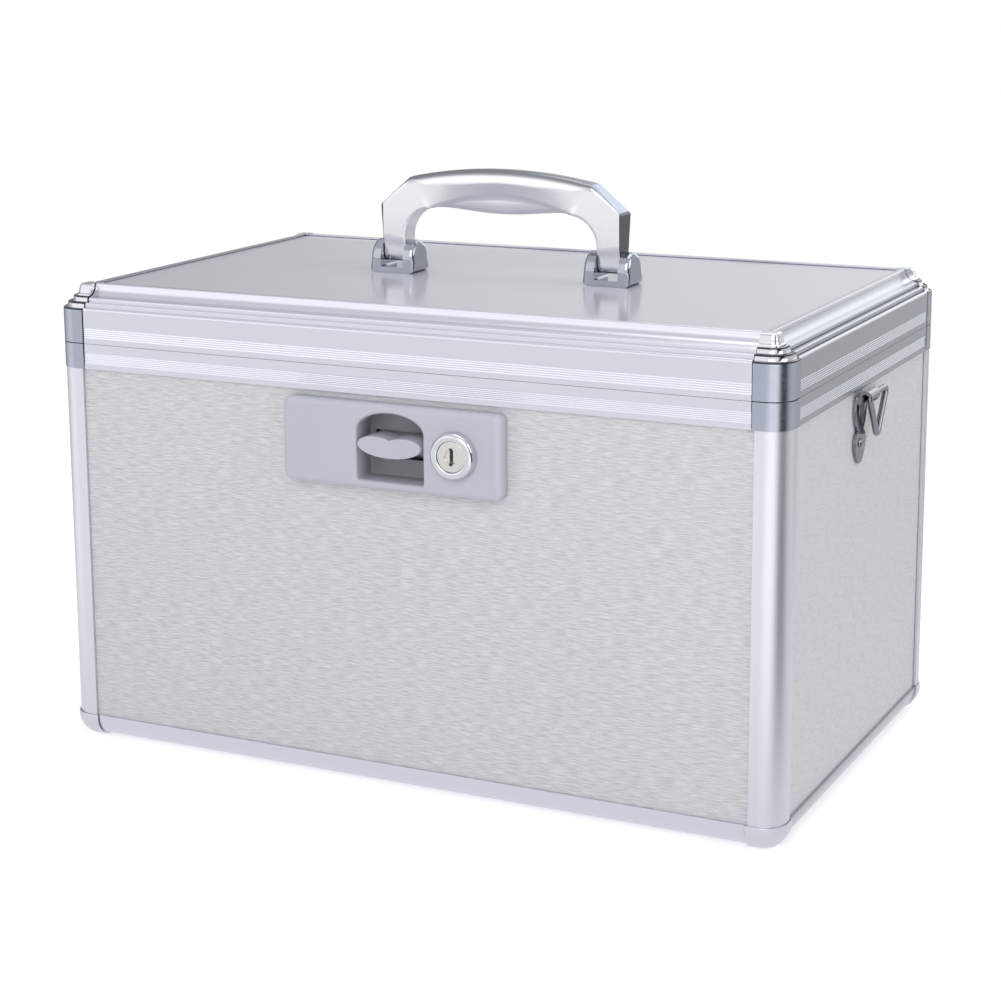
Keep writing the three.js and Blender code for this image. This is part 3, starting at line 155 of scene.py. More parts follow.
# Matt white paper: it takes the box's shadow near by and runs into plain white further out. In the
# metal it shows what the studio round it is like: a lit front, a dark flag to the right, grey sides.
floor_paper, tree, place = blank("matt_white_paper")
away = lay(tree, "VectorMath", {0: place}, operation="LENGTH").outputs["Value"]
smooth_step = {"interpolation_type": "SMOOTHSTEP"}
fade = lay(tree, "MapRange", {"Value": away, "From Min": 0.35, "From Max": 1.3}, **smooth_step)
paper = lay(tree, "BsdfDiffuse", {"Color": linear("f4f4f5")})
lift = lay(tree, "Emission", {"Color": (1, 1, 1, 1), "Strength": 0.42})
lit = lay(tree, "AddShader", {0: paper, 1: lift})
white = lay(tree, "Emission", {"Color": (1, 1, 1, 1), "Strength": 1.0})
seen, in_metal = looks(tree)
near = lay(tree, "MixShader", {0: seen, 1: paper, 2: lit})
far = lay(tree, "MixShader", {0: fade, 1: near, 2: white})
round_floor, _ = surround(tree, place, (
    (-180, 0.8), (-150, 0.3), (-112, 0.3), (-85, 0.9), (-60, 1.3), (-42, 0.95), (-4, 0.95), (10, 1.15),
    (18, 1.55), (46, 1.55), (55, 0.5), (62, 0.08), (80, 0.08), (90, 0.6), (105, 0.85), (130, 0.78),
    (153, 0.58), (180, 0.8)))
apart = lay(tree, "MapRange", {"Value": away, "From Min": 0.2, "From Max": 0.5}, **smooth_step)
mirror_floor = lay(tree, "Mix", {0: apart, 6: (0.87, 0.88, 0.91, 1), 7: round_floor}, data_type="RGBA")
mirrored = lay(tree, "Emission", {"Color": mirror_floor.outputs[2]})
paper_all = lay(tree, "MixShader", {0: in_metal, 1: far, 2: mirrored})
lay(tree, "OutputMaterial", {"Surface": paper_all})
floor_mesh.materials.append(floor_paper)

# The world is white to the eye and an even pale grey as a light. In the metal it is the studio's
# walls, with grey and dark stretches, under a bright ceiling.
world = bpy.data.worlds.new("studio")
scene.world = world
world.use_nodes = True
tree = world.node_tree
tree.nodes.clear()
seen, in_metal = looks(tree)
soft = lay(tree, "Background", {"Color": linear("eeeff4"), "Strength": 0.55})
walls, height = surround(tree, lay(tree, "TexCoord").outputs["Generated"], (
    (-180, 1.7), (-165, 0.95), (-155, 0.78), (-145, 0.45), (-110, 0.4), (-75, 0.8), (-60, 1.35), (-25, 1.3),
    (-5, 1.1), (18, 1.15), (46, 1.15), (55, 0.5), (62, 0.06), (82, 0.06), (92, 0.6), (125, 0.7), (157, 0.75),
    (170, 1.7)))
up = lay(tree, "MapRange", {"Value": height, "From Min": 0.6, "From Max": 0.74}, **smooth_step)
dome = lay(tree, "Mix", {0: up, 6: walls, 7: (0.8, 0.8, 0.83, 1)}, data_type="RGBA").outputs[2]
mirror = lay(tree, "Background", {"Color": dome})
clear = lay(tree, "Background", {"Color": (1, 1, 1, 1), "Strength": 1.0})
lighting = lay(tree, "MixShader", {0: in_metal, 1: soft, 2: mirror})
whole = lay(tree, "MixShader", {0: seen, 1: lighting, 2: clear})
lay(tree, "OutputWorld", {"Surface": whole})

for lamp_name, spot, aim, size, power in (
        ("key_softbox", (0.55, -2.0, 1.5), (0, 0, 0.1), 1.4, 17),
        ("side_softbox", (2.0, -0.1, 1.2), (0, 0, 0.1), 1.3, 10),
        ("top_softbox", (0.1, 0.6, 2.2), (0, 0, 0.2), 1.6, 10)):
    lamp_data = bpy.data.lights.new(lamp_name, "AREA")
    lamp_data.shape, lamp_data.size, lamp_data.energy = "SQUARE", size, power
    lamp = bpy.data.objects.new(lamp_name, lamp_data)
    scene.collection.objects.link(lamp)
    heading = (Vector(aim) - Vector(spot)).to_track_quat("-Z", "Y")
    lamp.matrix_world = Matrix.Translation(spot) @ heading.to_matrix().to_4x4()

# Corner posts: extruded aluminium quarter rounds, satin anodised, with a narrow flange on each side.
# The wall boards stand in their pockets, and the cast corners are screwed to their ends.
half_width, half_depth = 160.0, 99.0
edge_radius = 9.0
rail_wall = 1.2
rail_leg = 7.7
pocket = (1.2, 6.5)
post_leg = 12.5
post_low, post_high = 9.95, 168.3
corners = {"front_left": (-1, -1), "front_right": (1, -1), "back_left": (-1, 1), "back_right": (1, 1)}


def quarter(centre, radii, start, end, steps):
    """A run of points on an ellipse round a centre, from one angle to another, both in degrees."""
    turn = np.radians(np.linspace(start, end, steps + 1))
    return np.stack([centre[0] + radii[0] * np.cos(turn), centre[1] + radii[1] * np.sin(turn)], -1)


def soften(outline, radius, steps=3):
    """Each corner of a closed outline becomes the parabola (1-t)^2 A + 2t(1-t) P + t^2 B, where A and B lie a
    radius back along its two edges, or two fifths of an edge that is short. Takes one outline or a stack."""
    def back(edge):
        length = np.maximum(np.linalg.norm(edge, axis=-1, keepdims=True), 1e-9)
        return edge / length * np.minimum(radius, 0.4 * length)
    before, after = np.roll(outline, 1, -2) - outline, np.roll(outline, -1, -2) - outline
    t = np.linspace(0, 1, steps + 1)[:, None]
    outline = outline[..., None, :]
    first, second = (outline + back(edge)[..., None, :] for edge in (before, after))
    curve = (1 - t) ** 2 * first + 2 * t * (1 - t) * outline + t ** 2 * second
    return curve.reshape(*before.shape[:-2], -1, 2)


def skin(rings, closed=False):
    """Faces of rings of points: each point joins its neighbour on its ring and on the next, and two ends are
    closed by one face each unless the rings run round in a loop."""
    count, points = rings.shape[:2]
    index = np.arange(count * points).reshape(count, points)
    this, following = (index, np.roll(index, -1, 0)) if closed else (index[:-1], index[1:])
    quads = np.stack([this, np.roll(this, -1, 1), np.roll(following, -1, 1), following], -1).reshape(-1, 4)
    return quads.tolist() + ([] if closed else [index[0, ::-1].tolist(), index[-1].tolist()])


def clean(mesh, merge, sharp, outward=False):
    """Merges points, takes out faces of no area, and shades smooth but for edges sharper than an angle."""
    work = bmesh.new()
    work.from_mesh(mesh)
    bmesh.ops.remove_doubles(work, verts=work.verts, dist=merge)
    bmesh.ops.dissolve_degenerate(work, edges=work.edges, dist=1e-6)
    if outward:
        bmesh.ops.recalc_face_normals(work, faces=work.faces)
    work.to_mesh(mesh)
    work.free()
    mesh.polygons.foreach_set("use_smooth", np.ones(len(mesh.polygons), bool))
    mesh.set_sharp_from_angle(angle=math.radians(sharp))


def make(name, rings, finish, sharp=32.0, closed=False):
    """A piece of rings in millimetres, as a mesh in metres that faces outwards."""
    mesh = bpy.data.meshes.new(name)
    points = np.asarray(rings, float).reshape(-1, 3) / 1000 + (0, middle_y, 0)
    mesh.from_pydata(points.tolist(), [], skin(rings, closed))
    clean(mesh, 2e-6, sharp, outward=True)
    mesh.materials.append(finish)
    made = bpy.data.objects.new(name, mesh)
    scene.collection.objects.link(made)
    return made


# Satin anodised aluminium: etched and anodised, so it is a soft metal with blurred highlights and a
# faint drawn grain along its length. That is too fine to show, so it is drawn 0.4 mm wide.
def drawn_metal(name, colour, roughness, across, bands=(), painted_rib_highlight=1.0, grain=0.4, streak=0.01):
    """Anodised metal drawn along one axis: noise that is very long on that axis and a grain wide across it.
    Each band of grooves is (low, high, count): a painted highlight raises the tone there by (1 - cos) of
    the height, most where the grooves are deepest."""
    material, tree, place = blank(name)
    scale = [1000 / grain if axis in across else 1000 / (400 * grain) for axis in "XYZ"]
    run = lay(tree, "Mapping", {"Vector": place, "Scale": scale})
    lines = lay(tree, "TexNoise", {"Vector": run, "Scale": 1.0, "Detail": 3.0, "Roughness": 0.6})
    rough = lay(tree, "MapRange", {"Value": lines, "From Min": 0.3, "From Max": 0.7,
                                   "To Min": roughness - streak, "To Max": roughness + streak})
    shade = lay(tree, "MapRange", {"Value": lines, "From Min": 0.3, "From Max": 0.7,
                                   "To Min": 0.985, "To Max": 1.01})
    level = lay(tree, "SeparateXYZ", {0: place}).outputs["Z"]
    for low, high, count in bands:
        share = lay(tree, "MapRange", {"Value": level, "From Min": low / 1000, "From Max": high / 1000,
                                       "To Max": 2 * math.pi * count})
        valley = lay(tree, "Math", {0: share}, operation="COSINE")
        depth = lay(tree, "MapRange", {"Value": valley, "From Min": -1.0, "To Min": painted_rib_highlight, "To Max": 1.0})
        shade = lay(tree, "Math", {0: shade, 1: depth}, operation="MULTIPLY")
    tint = lay(tree, "Mix", {6: linear(colour), 7: shade, 0: 1.0}, data_type="RGBA", blend_type="MULTIPLY")
    coat(tree, tint.outputs[2], rough, lines, 0.008, 0.00001, Metallic=1.0)
    return material


satin_post = drawn_metal("satin_anodised_aluminium_post", "dadae1", 0.4, "XY")
post_outline = np.concatenate([
    [[post_leg, 0.0]], quarter((edge_radius,) * 2, (edge_radius,) * 2, 270, 180, 28),
    [[0, post_leg], [rail_wall, post_leg], [rail_wall, rail_leg], [pocket[1], rail_leg],
     [pocket[1], post_leg], [rail_leg, post_leg], [rail_leg, rail_leg], [post_leg, rail_leg],
     [post_leg, pocket[1]], [rail_leg, pocket[1]], [rail_leg, rail_wall], [post_leg, rail_wall]]])
for corner_name, corner in corners.items():
    plan = ((half_width, half_depth) - soften(post_outline, 0.15, 2)) * corner
    rings = np.stack([np.insert(plan, 2, level, axis=1) for level in (post_low, post_high)])
    post = make(f"post_{corner_name}", rings, satin_post)
    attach(post, "case")
    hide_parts(f"corner_post_{corner_name}")

# Wall boards: fibreboard faced with a silver-grey laminate, embossed all over with short wavy dashes
# that lie level. They stand in the posts' and rails' pockets. The CAD boards keep their shape.
dash_length, dash_pitch = 6.5, 0.36


def laminate(name, dark, light, height, gloss):
    """Dashes: noise a dash long and a pitch high, its level line bent by noise of 8 mm, over a cloud of tone
    110 mm wide. Their crests are paler and glossier than the ground."""
    material, tree, place = blank(name)
    part = lay(tree, "SeparateXYZ", {0: place})
    along = lay(tree, "Math", {0: part.outputs["X"], 1: part.outputs["Y"]}, operation="ADD")
    slow = lay(tree, "CombineXYZ", {"X": along, "Y": part.outputs["Z"]})
    bend = lay(tree, "TexNoise", {"Vector": slow, "Scale": 130.0, "Detail": 1.0})
    lean = lay(tree, "Math", {0: bend, 1: 0.0008, 2: part.outputs["Z"]}, operation="MULTIPLY_ADD")
    level = lay(tree, "CombineXYZ", {"X": along, "Y": lean})
    cell = lay(tree, "Mapping", {"Vector": level, "Scale": (1000 / dash_length, 1000 / dash_pitch, 1)})
    dash = lay(tree, "TexNoise", {"Vector": cell, "Scale": 1.0, "Detail": 3.0, "Roughness": 0.55})
    wide = lay(tree, "TexNoise", {"Vector": slow, "Scale": 9.0, "Detail": 2.0})
    ridge = lay(tree, "MapRange", {"Value": dash, "From Min": 0.4, "From Max": 0.6}, **smooth_step)
    mottled = lay(tree, "Math", {0: wide, 1: 0.06, 2: ridge}, operation="MULTIPLY_ADD")
    tone = lay(tree, "Mix", {0: mottled, 6: linear(dark), 7: linear(light)}, data_type="RGBA").outputs[2]
    rough = lay(tree, "MapRange", {"Value": ridge, "To Min": gloss + 0.08, "To Max": gloss - 0.06})
    coat(tree, tone, rough, ridge, 0.35, height, Metallic=0.12, Specular_IOR_Level=0.4)
    return material


front_laminate = laminate("embossed_grey_laminate", "cecdcf", "e4e3e6", 0.0001, 0.5)
# The side boards take a copy of the laminate painted darker, a painted shade on the sides.
side_laminate_painted_shade = laminate("embossed_grey_laminate_painted_side_shade", "cecccf", "d9d8db", 0.00007, 0.5)
inner_board = laminate("plain_board_lining", "b6b4b3", "bcbab9", 0.00003, 0.62)


def recoat(finish, *names):
    """Gives solids of the CAD a finish in place of the one they came with."""
    for name in names:
        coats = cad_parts[name].data.materials
        coats.clear()
        coats.append(finish)


recoat(front_laminate, "wall_board_front", "wall_board_back")
recoat(side_laminate_painted_shade, "wall_board_left", "wall_board_right")
recoat(inner_board, "base_board")

# Top board: a smooth semi-gloss sheet slid under the lip of the lid rails. It mirrors the handle's
# brackets softly, with a haze 70 mm wide and a grain of 1 mm, drawn coarse enough to show. The CAD
# board keeps its shape.
smooth_sheet, tree, place = blank("semi_gloss_top_sheet")
haze = lay(tree, "TexNoise", {"Vector": place, "Scale": 14.0, "Detail": 3.0})
fine = lay(tree, "TexNoise", {"Vector": place, "Scale": 900.0, "Detail": 2.0})
tone = lay(tree, "Mix", {0: haze, 6: linear("c0c0c9"), 7: linear("c8c8d1")}, data_type="RGBA").outputs[2]
rough = lay(tree, "MapRange", {"Value": haze, "To Min": 0.13, "To Max": 0.19})
coat(tree, tone, rough, fine, 0.02, 0.00005, Specular_IOR_Level=0.9, IOR=1.5)
recoat(smooth_sheet, "top_board")

# Rails: three runs of extruded aluminium, bright anodised and cut square. The foot is a plain quarter
# round, the ribbed rim closes the walls and carries the tongue, and the lid has a crown moulding.
foot_low, foot_high = 0.8, 10.8
rim_low, parting = 162.3, 172.9
lid_low, shoulder, lid_high = 173.2, 187.0, 197.0
rail_end = 13.75
crown_inset, crown_height = 11.4, lid_high - shoulder
board_under = 192.05


def ribs(low, band, count, depth=0.18, steps=8):
    """Fine ridges down a face: the inset is half a depth times (1 - cos) of the height, once per rib."""
    share = np.linspace(0, 1, count * steps + 1)
    return np.stack([depth / 2 * (1 - np.cos(2 * math.pi * count * share)), low + band * share], -1)


def crown(points, proud=0.0):
    """Moulding points given as shares of the crown's inset and height; the cast one starts further out."""
    inset, rise = np.concatenate(points).T
    return np.stack([proud * (1 - inset) + inset * crown_inset, shoulder + rise * crown_height], -1)


foot_leg, base_low, base_high, ledge_high, pocket_floor = 13, 2.0, 6.3, 7.5, 7.2
foot_section = np.concatenate([
    [[0, foot_high]], quarter((edge_radius, foot_low + edge_radius), (edge_radius,) * 2, 180, 270, 24),
    [[foot_leg, foot_low], [foot_leg, base_low], [rail_leg, base_low], [rail_leg, base_high],
     [foot_leg, base_high], [foot_leg, ledge_high], [rail_leg, ledge_high], [rail_leg, foot_high],
     [pocket[1], foot_high], [pocket[1], pocket_floor], [rail_wall, pocket_floor], [rail_wall, foot_high]]])
tongue = [[2.2, parting], [2.2, 176.5], [2.5, 176.8], [3.1, 176.8], [3.4, 176.5], [3.4, parting],
          [rail_leg, parting]]
rim_ribs, lid_ribs = (rim_low + 2.3, 4.5, 6), (parting + 2.4, 4.4, 5)
rim_section = np.concatenate([
    [[0, rim_low]], ribs(*rim_ribs), [[0, parting]], tongue,
    [[rail_leg, rim_low], [pocket[1], rim_low], [pocket[1], post_high], [rail_wall, post_high],
     [rail_wall, rim_low]]])
rail_crown = crown([
    quarter((0.11, 0.0), (0.11, 0.11), 180, 90, 6),
    [[0.14, 0.11], [0.145, 0.04], [0.17, 0.04], [0.175, 0.25]],
    quarter((0.24, 0.25), (0.06, 0.04), 180, 90, 4),
    [[0.355, 0.29], [0.36, 0.22], [0.39, 0.22], [0.395, 0.4]],
    quarter((0.45, 0.40), (0.05, 0.06), 180, 100, 4), quarter((0.45, 0.95), (0.42, 0.46), 282, 352, 14),
    quarter((0.95, 0.9), (0.07, 0.1), 170, 90, 5), [[1.0, 1.0]]])
lip_inset, lip_under, groove_inset, shelf_under, slip = 12.6, 196.2, 10.6, 190.7, 0.15


def lid_underside(shelf, low):
    """The lip over the top board, the groove and shelf that hold it, and the back of crown and skirt."""
    lip = [[lip_inset, lid_high], [lip_inset, lip_under], [groove_inset, lip_under],
           [groove_inset, board_under - slip], [shelf, board_under - slip], [shelf, shelf_under]]
    crown_back = np.array([[0.84, 0.37], [0.55, 0.32], [0.3, 0.16], [0.16, 0]]) * (crown_inset, crown_height)
    return np.concatenate([lip, crown_back + (0, shoulder), [[1.5, shoulder - 1.5], [1.5, low]]])


lid_foot = lid_low - 0.2
lid_section = np.concatenate([[[0, lid_foot]], ribs(*lid_ribs), [[0, shoulder - 0.1]], rail_crown,
                              lid_underside(lip_inset + 0.85, lid_foot)])


def rail_rings(section, side):
    """A section of (inset, level) points at the two ends of a side's run."""
    face = -1 if side in ("front", "left") else 1
    along_x = side in ("front", "back")
    reach = (half_width if along_x else half_depth) - rail_end
    inset, level = section.T
    rows = []
    for end in (-reach, reach):
        run = np.full_like(inset, end)
        out = face * ((half_depth if along_x else half_width) - inset)
        rows.append(np.stack([run, out, level] if along_x else [out, run, level], -1))
    return np.stack(rows)


# The rails' ribs get a painted highlight from these bands.
rib_bands = [(low, low + band, count) for low, band, count in (rim_ribs, lid_ribs)]
bright_rail_x = drawn_metal("bright_anodised_aluminium_long", "dadae3", 0.25, "YZ", rib_bands, 1.22)
# The side rails take a copy painted darker, a painted shade on the sides, with a stronger painted rib
# highlight.
side_rail_painted_shade = drawn_metal("bright_anodised_aluminium_painted_side_shade", "b6b9bf", 0.22, "XZ", rib_bands, 1.45)
for side in ("front", "back", "left", "right"):
    rail_finish = bright_rail_x if side in ("front", "back") else side_rail_painted_shade
    for kind, section, body in (("foot", foot_section, "case"), ("rim", rim_section, "case"),
                                ("lid", lid_section, "lid")):
        rings = rail_rings(soften(section, 0.12, 2), side)
        rail = make(f"{kind}_rail_run_{side}", rings, rail_finish, 24.0)
        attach(rail, body)
        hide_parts(f"{kind}_rail_{side}")

# Cast corners: zinc castings over the rails' ends, a little proud of them: ball feet under the posts,
# plain bands at the rim, and three-tiered crowns on the lid, polished and chromed.
cast_proud, cast_leg, cast_wall = 0.8, 13.35, 1.2
band_proud = 0.35
bend_steps = 14


def cast_rings(section, corner):
    """A section carried round a corner: straight from one leg's end, round an arc of (edge radius - inset),
    and straight to the other leg's end, so every level keeps its distance from the two outer faces."""
    sx, sy = corner
    inset, level = section.T
    radius = np.maximum(edge_radius - inset, 0.25)
    turn = np.linspace(0, math.pi / 2, bend_steps + 1)[:, None]
    side = inset + radius * (1 - np.cos(turn))
    end = inset + radius * (1 - np.sin(turn))
    legs = np.full_like(inset, cast_leg)[None]
    side, end = np.concatenate([inset[None], side, legs]), np.concatenate([legs, end, inset[None]])
    height = np.broadcast_to(level, side.shape)
    return np.stack([sx * (half_width - side), sy * (half_depth - end), height], -1)


ball_centre, ball_radius = (edge_radius, foot_low + edge_radius), edge_radius + cast_proud
ball_outer = quarter(ball_centre, (ball_radius,) * 2, 180, 270, 18)
ball_inner = quarter(ball_centre, (ball_radius - cast_wall,) * 2, 270, 180, 10)
ball_section = np.concatenate([
    [[-cast_proud, foot_high]], ball_outer, [[foot_leg, 0], [foot_leg, cast_wall]], ball_inner,
    [[-slip, foot_low + edge_radius], [-slip, foot_high]]])
band_section = np.array([[-band_proud, rim_low], [-band_proud, parting], *tongue,
                         [rail_leg, post_high + slip], [-slip, post_high + slip], [-slip, rim_low]])
cast_crown = crown([
    [[0.0, 0.0]], quarter((0.05, 0.03), (0.05, 0.035), 180, 90, 4), [[0.06, 0.02]],
    quarter((0.07, 0.27), (0.1, 0.24), 270, 350, 7), quarter((0.2, 0.26), (0.03, 0.03), 180, 90, 3),
    [[0.24, 0.29], [0.25, 0.23]], quarter((0.26, 0.49), (0.12, 0.24), 270, 350, 7),
    quarter((0.41, 0.49), (0.035, 0.04), 180, 90, 3), [[0.455, 0.53], [0.46, 0.47], [0.49, 0.5]],
    quarter((0.5, 0.78), (0.08, 0.2), 270, 340, 5), [[0.6, 0.84]],
    quarter((0.73, 0.86), (0.12, 0.14), 180, 90, 8), [[1.0, 1.0]]], -band_proud)
cast_section = np.concatenate([[[-band_proud, lid_low], [-band_proud, shoulder - 0.1]], cast_crown,
                               lid_underside(lip_inset, lid_low)])

# Satin plated zinc for the plain bands, mirror chrome for the crown: the casting's upper part is
# buffed, so the roughness falls above the shoulder. The satin is uneven in spots of 2.4 mm, and a
# painted shade darkens the crown's narrow grooves.
plated_zinc, tree, place = blank("chromed_zinc_casting")
height = lay(tree, "SeparateXYZ", {0: place}).outputs["Z"]
buffed = lay(tree, "MapRange", {"Value": height, "From Min": 0.1866, "From Max": 0.1874})
pores = lay(tree, "TexNoise", {"Vector": place, "Scale": 420.0, "Detail": 4.0})
satin = lay(tree, "MapRange", {"Value": pores, "From Min": 0.3, "From Max": 0.7,
                               "To Min": 0.2, "To Max": 0.28})
rough = lay(tree, "Mix", {0: buffed, 2: satin, 3: 0.045}, data_type="FLOAT")
tone = lay(tree, "Mix", {0: buffed, 6: linear("acb1be"), 7: linear("d2d2d6")}, data_type="RGBA").outputs[2]
# Painted shade: a dark line at the level of each of the crown's grooves.
for quirk in (0.03, 0.265, 0.495):
    level = (shoulder + quirk * crown_height) / 1000
    painted_groove_shade = lay(tree, "Math", {0: height, 1: level, 2: 0.0003}, operation="COMPARE")
    tone = lay(tree, "Mix", {0: painted_groove_shade, 6: tone, 7: linear("3c3e44")}, data_type="RGBA").outputs[2]
coat(tree, tone, rough, pores, 0.03, 0.00004, Metallic=1.0)

for corner_name, corner in corners.items():
    for kind, section, body, cast_finish, slot in (
            ("foot", ball_section, "case", satin_post, "satin_aluminium"),
            ("rim", band_section, "case", plated_zinc, "cast_chrome"),
            ("lid", cast_section, "lid", plated_zinc, "cast_chrome")):
        rings = cast_rings(soften(section, 0.18, 2), corner)
        casting = make(f"{kind}_casting_{corner_name}", rings, cast_finish, 28.0)
        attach(casting, body)
        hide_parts(f"{kind}_corner_{corner_name}")

# Latch plate: injection-moulded ABS, lavender grey, with a broad soft edge, an arched finger recess
# with its tub behind, and a bore for the lock. It is screwed to the front board from inside.
latch_z = 142.9
plate_back, plate_face = -97.8, -104.2
plate_half = (48.0, 17.0)
plate_corner, plate_round = 3.2, 2.4
recess_half, recess_floor, recess_top, recess_rise = 14.7, 129.2, 156.6, 7.5
recess_back, tub_wall = -92.2, 1.5
lock_x = 28.8


def rounded_plan(centre, half, radius, steps=10):
    """A rectangle with quarter-round corners, as one closed run of points."""
    (cx, cy), (hx, hy) = centre, (half[0] - radius, half[1] - radius)
    return np.concatenate([quarter((cx + sx * hx, cy + sy * hy), (radius, radius), start, start + 90, steps)
                           for sx, sy, start in ((1, -1, -90), (1, 1, 0), (-1, 1, 90), (-1, -1, 180))])


def arch_plan(half, low, high, rise, corner, steps=24):
    """Straight sides with rounded feet under half an ellipse."""
    feet = [quarter((side * (half - corner), low + corner), (corner, corner), start, start + 90, 4)
            for side, start in ((1, -90), (-1, 180))]
    return np.concatenate([feet[0], quarter((0, high - rise), (half, rise), 0, 180, steps), feet[1]])


def spread(outline, distance):
    """Each point moves out along the outline's normal, square to the line between its two neighbours."""
    tangent = np.roll(outline, -1, 0) - np.roll(outline, 1, 0)
    normal = np.stack([tangent[:, 1], -tangent[:, 0]], -1)
    return outline + distance * normal / np.linalg.norm(normal, axis=1, keepdims=True)


def eased(outline, radius, face, steps, way=-1):
    """Layers round a quarter-round edge: an outline the radius times (1 - sin t) in, or out where way is 1,
    lies the radius times (1 - cos t) behind the face, for t from 0 to a right angle."""
    return [(spread(outline, way * radius * (1 - math.sin(turn))), face + radius * (1 - math.cos(turn)))
            for turn in np.linspace(0, math.pi / 2, steps)]


def front_rings(layers):
    """Outlines of (x, z) points, each at its own y, as rings from front to back."""
    return np.stack([np.stack([line[:, 0], np.full(len(line), y), line[:, 1]], -1) for line, y in layers])


def side_rings(layers):
    """Outlines of (y, z) points, each at its own x, as rings along X."""
    return np.stack([np.stack([np.full(len(line), x), line[:, 0], line[:, 1]], -1) for line, x in layers])


def slab(name, outline, start, end, finish, rings=front_rings):
    """A flat outline given a thickness along Y, or along X with side_rings."""
    return make(name, rings([(outline, start), (outline, end)]), finish)


def carve(made, *cutters, union=()):
    """Adds and cuts whole closed pieces with exact booleans, and leaves the result as plain mesh."""
    steps = [(piece, "UNION") for piece in union] + [(piece, "DIFFERENCE") for piece in cutters]
    for tool, operation in steps:
        step = made.modifiers.new("cut", "BOOLEAN")
        step.operation, step.solver, step.object = operation, "EXACT", tool
        bpy.context.view_layer.objects.active = made
        bpy.ops.object.modifier_apply(modifier=step.name)
        bpy.data.objects.remove(tool)
    clean(made.data, 1e-6, 30.0)


# Moulded ABS: an even colour that drifts over 33 mm, with a painted shade that darkens it into the
# recess, a soft sheen with no clear reflection, and a spark-eroded grain, drawn at 0.6 mm so that it shows.
moulded_abs, tree, place = blank("moulded_abs_lavender_grey")
grain = lay(tree, "TexNoise", {"Vector": place, "Scale": 1600.0, "Detail": 2.0})
flow = lay(tree, "TexNoise", {"Vector": place, "Scale": 30.0, "Detail": 1.0})
face_tone = lay(tree, "Mix", {0: flow, 6: linear("c6c7d2"), 7: linear("cbccd6")}, data_type="RGBA").outputs[2]
# Painted shade: the tone darkens with depth behind the plate's face, into the recess.
deep = lay(tree, "SeparateXYZ", {0: place}).outputs["Y"]
painted_recess_shade = lay(tree, "MapRange", {"Value": deep, "From Min": middle_y - 0.1028, "From Max": middle_y - 0.0935},
             **smooth_step)
tone = lay(tree, "Mix", {0: painted_recess_shade, 6: face_tone, 7: linear("9b9ca1")}, data_type="RGBA").outputs[2]
rough = lay(tree, "MapRange", {"Value": grain, "To Min": 0.36, "To Max": 0.46})
coat(tree, tone, rough, grain, 0.08, 0.00003, IOR=1.53)

plate_outline = rounded_plan((0, latch_z), plate_half, plate_corner)
plate_layers = [*eased(plate_outline, plate_round, plate_face, 9), (plate_outline, plate_back)]
latch_plate = make("latch_face_plate", front_rings(plate_layers), moulded_abs)
tub_outline = arch_plan(recess_half + tub_wall, recess_floor - tub_wall, recess_top + tub_wall,
                        recess_rise + tub_wall, 0.8)
tub = slab("latch_tub", tub_outline, plate_face + plate_round, recess_back + tub_wall, moulded_abs)
mouth = arch_plan(recess_half, recess_floor, recess_top, recess_rise, 1.0)
lip_round = 1.3
mouth_layers = [(spread(mouth, lip_round), plate_face - 1), *eased(mouth, lip_round, plate_face, 7, 1),
                (mouth, recess_back - 0.8), (spread(mouth, -0.25), recess_back - 0.2),
                (spread(mouth, -0.8), recess_back)]
mouth_cutter = make("mouth_cutter", front_rings(mouth_layers), moulded_abs)
slot_outline = rounded_plan((0, 141.8), (12.2, 5.6), 0.8, 4)
slot_cutter = slab("slot_cutter", slot_outline, recess_back - 1, recess_back + 3, moulded_abs)
bore_outline = quarter((lock_x, latch_z), (7.75, 7.75), 0, 360, 48)[:-1]
bore_cutter = slab("bore_cutter", bore_outline, plate_face - 1, plate_back + 1, moulded_abs)
carve(latch_plate, mouth_cutter, slot_cutter, bore_cutter, union=[tub])
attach(latch_plate, "case")
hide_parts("latch_plate")

# Latch paddle: the same ABS. A blade with two humps and a notch for the fingertip stands on a stem
# that goes through the tub's slot, with a curved apron that keeps the slot closed from behind. It
# turns on a steel pin behind the wall.
blade_half, blade_rise = 14.0, 4.4
blade_front, blade_back = -104.6, -94.6
pivot_y = -83.5


def bowed(points, steps):
    """A run of curves, each drawn from its first point to its last by the ones between, by powers of (1-t)
    and t times the binomial numbers. The last point of each is left to the next curve."""
    t = np.linspace(0, 1, steps, endpoint=False)[:, None]
    last = len(points[0]) - 1
    share = np.concatenate([math.comb(last, k) * t ** k * (1 - t) ** (last - k) for k in range(last + 1)], 1)
    return np.concatenate([share @ np.asarray(line, float) for line in points])


# The blade's outline, in shares of its half size: from tip over hump to notch, the same again for
# the left side, and the belly from tip to tip.
tip, shoulder_pull, hump, dip_pull, notch, belly_pull = np.array(
    [(1, 0.12), (0.99, 0.9), (0.5, 1), (0.16, 0.97), (0, 0.7), (0.86, -1.28)])
left = np.array((-1, 1))
blade_top = bowed([(tip, shoulder_pull, hump), (hump, dip_pull, notch), (notch, dip_pull * left, hump * left),
                   (hump * left, shoulder_pull * left, tip * left)], 14)
blade_belly = bowed([(tip * left, belly_pull * left, belly_pull, tip)], 42)
blade_line = np.concatenate([blade_top, blade_belly]) * (blade_half, blade_rise) + (0, latch_z)
blade_outline = soften(blade_line, 0.5, 2)
blade_layers = [*eased(blade_outline, 0.55, blade_front, 6), (blade_outline, blade_back)]
paddle = make("latch_blade", front_rings(blade_layers), moulded_abs)
apron_out, apron_in, apron_top, apron_foot = 8.34, 6.94, 127.7, 242.5
apron_line = np.concatenate([quarter((pivot_y, latch_z), (apron_out,) * 2, apron_top, apron_foot, 24),
                             quarter((pivot_y, latch_z), (apron_in,) * 2, apron_foot, apron_top, 24)])
apron = slab("apron", apron_line, -11, 11, moulded_abs, side_rings)
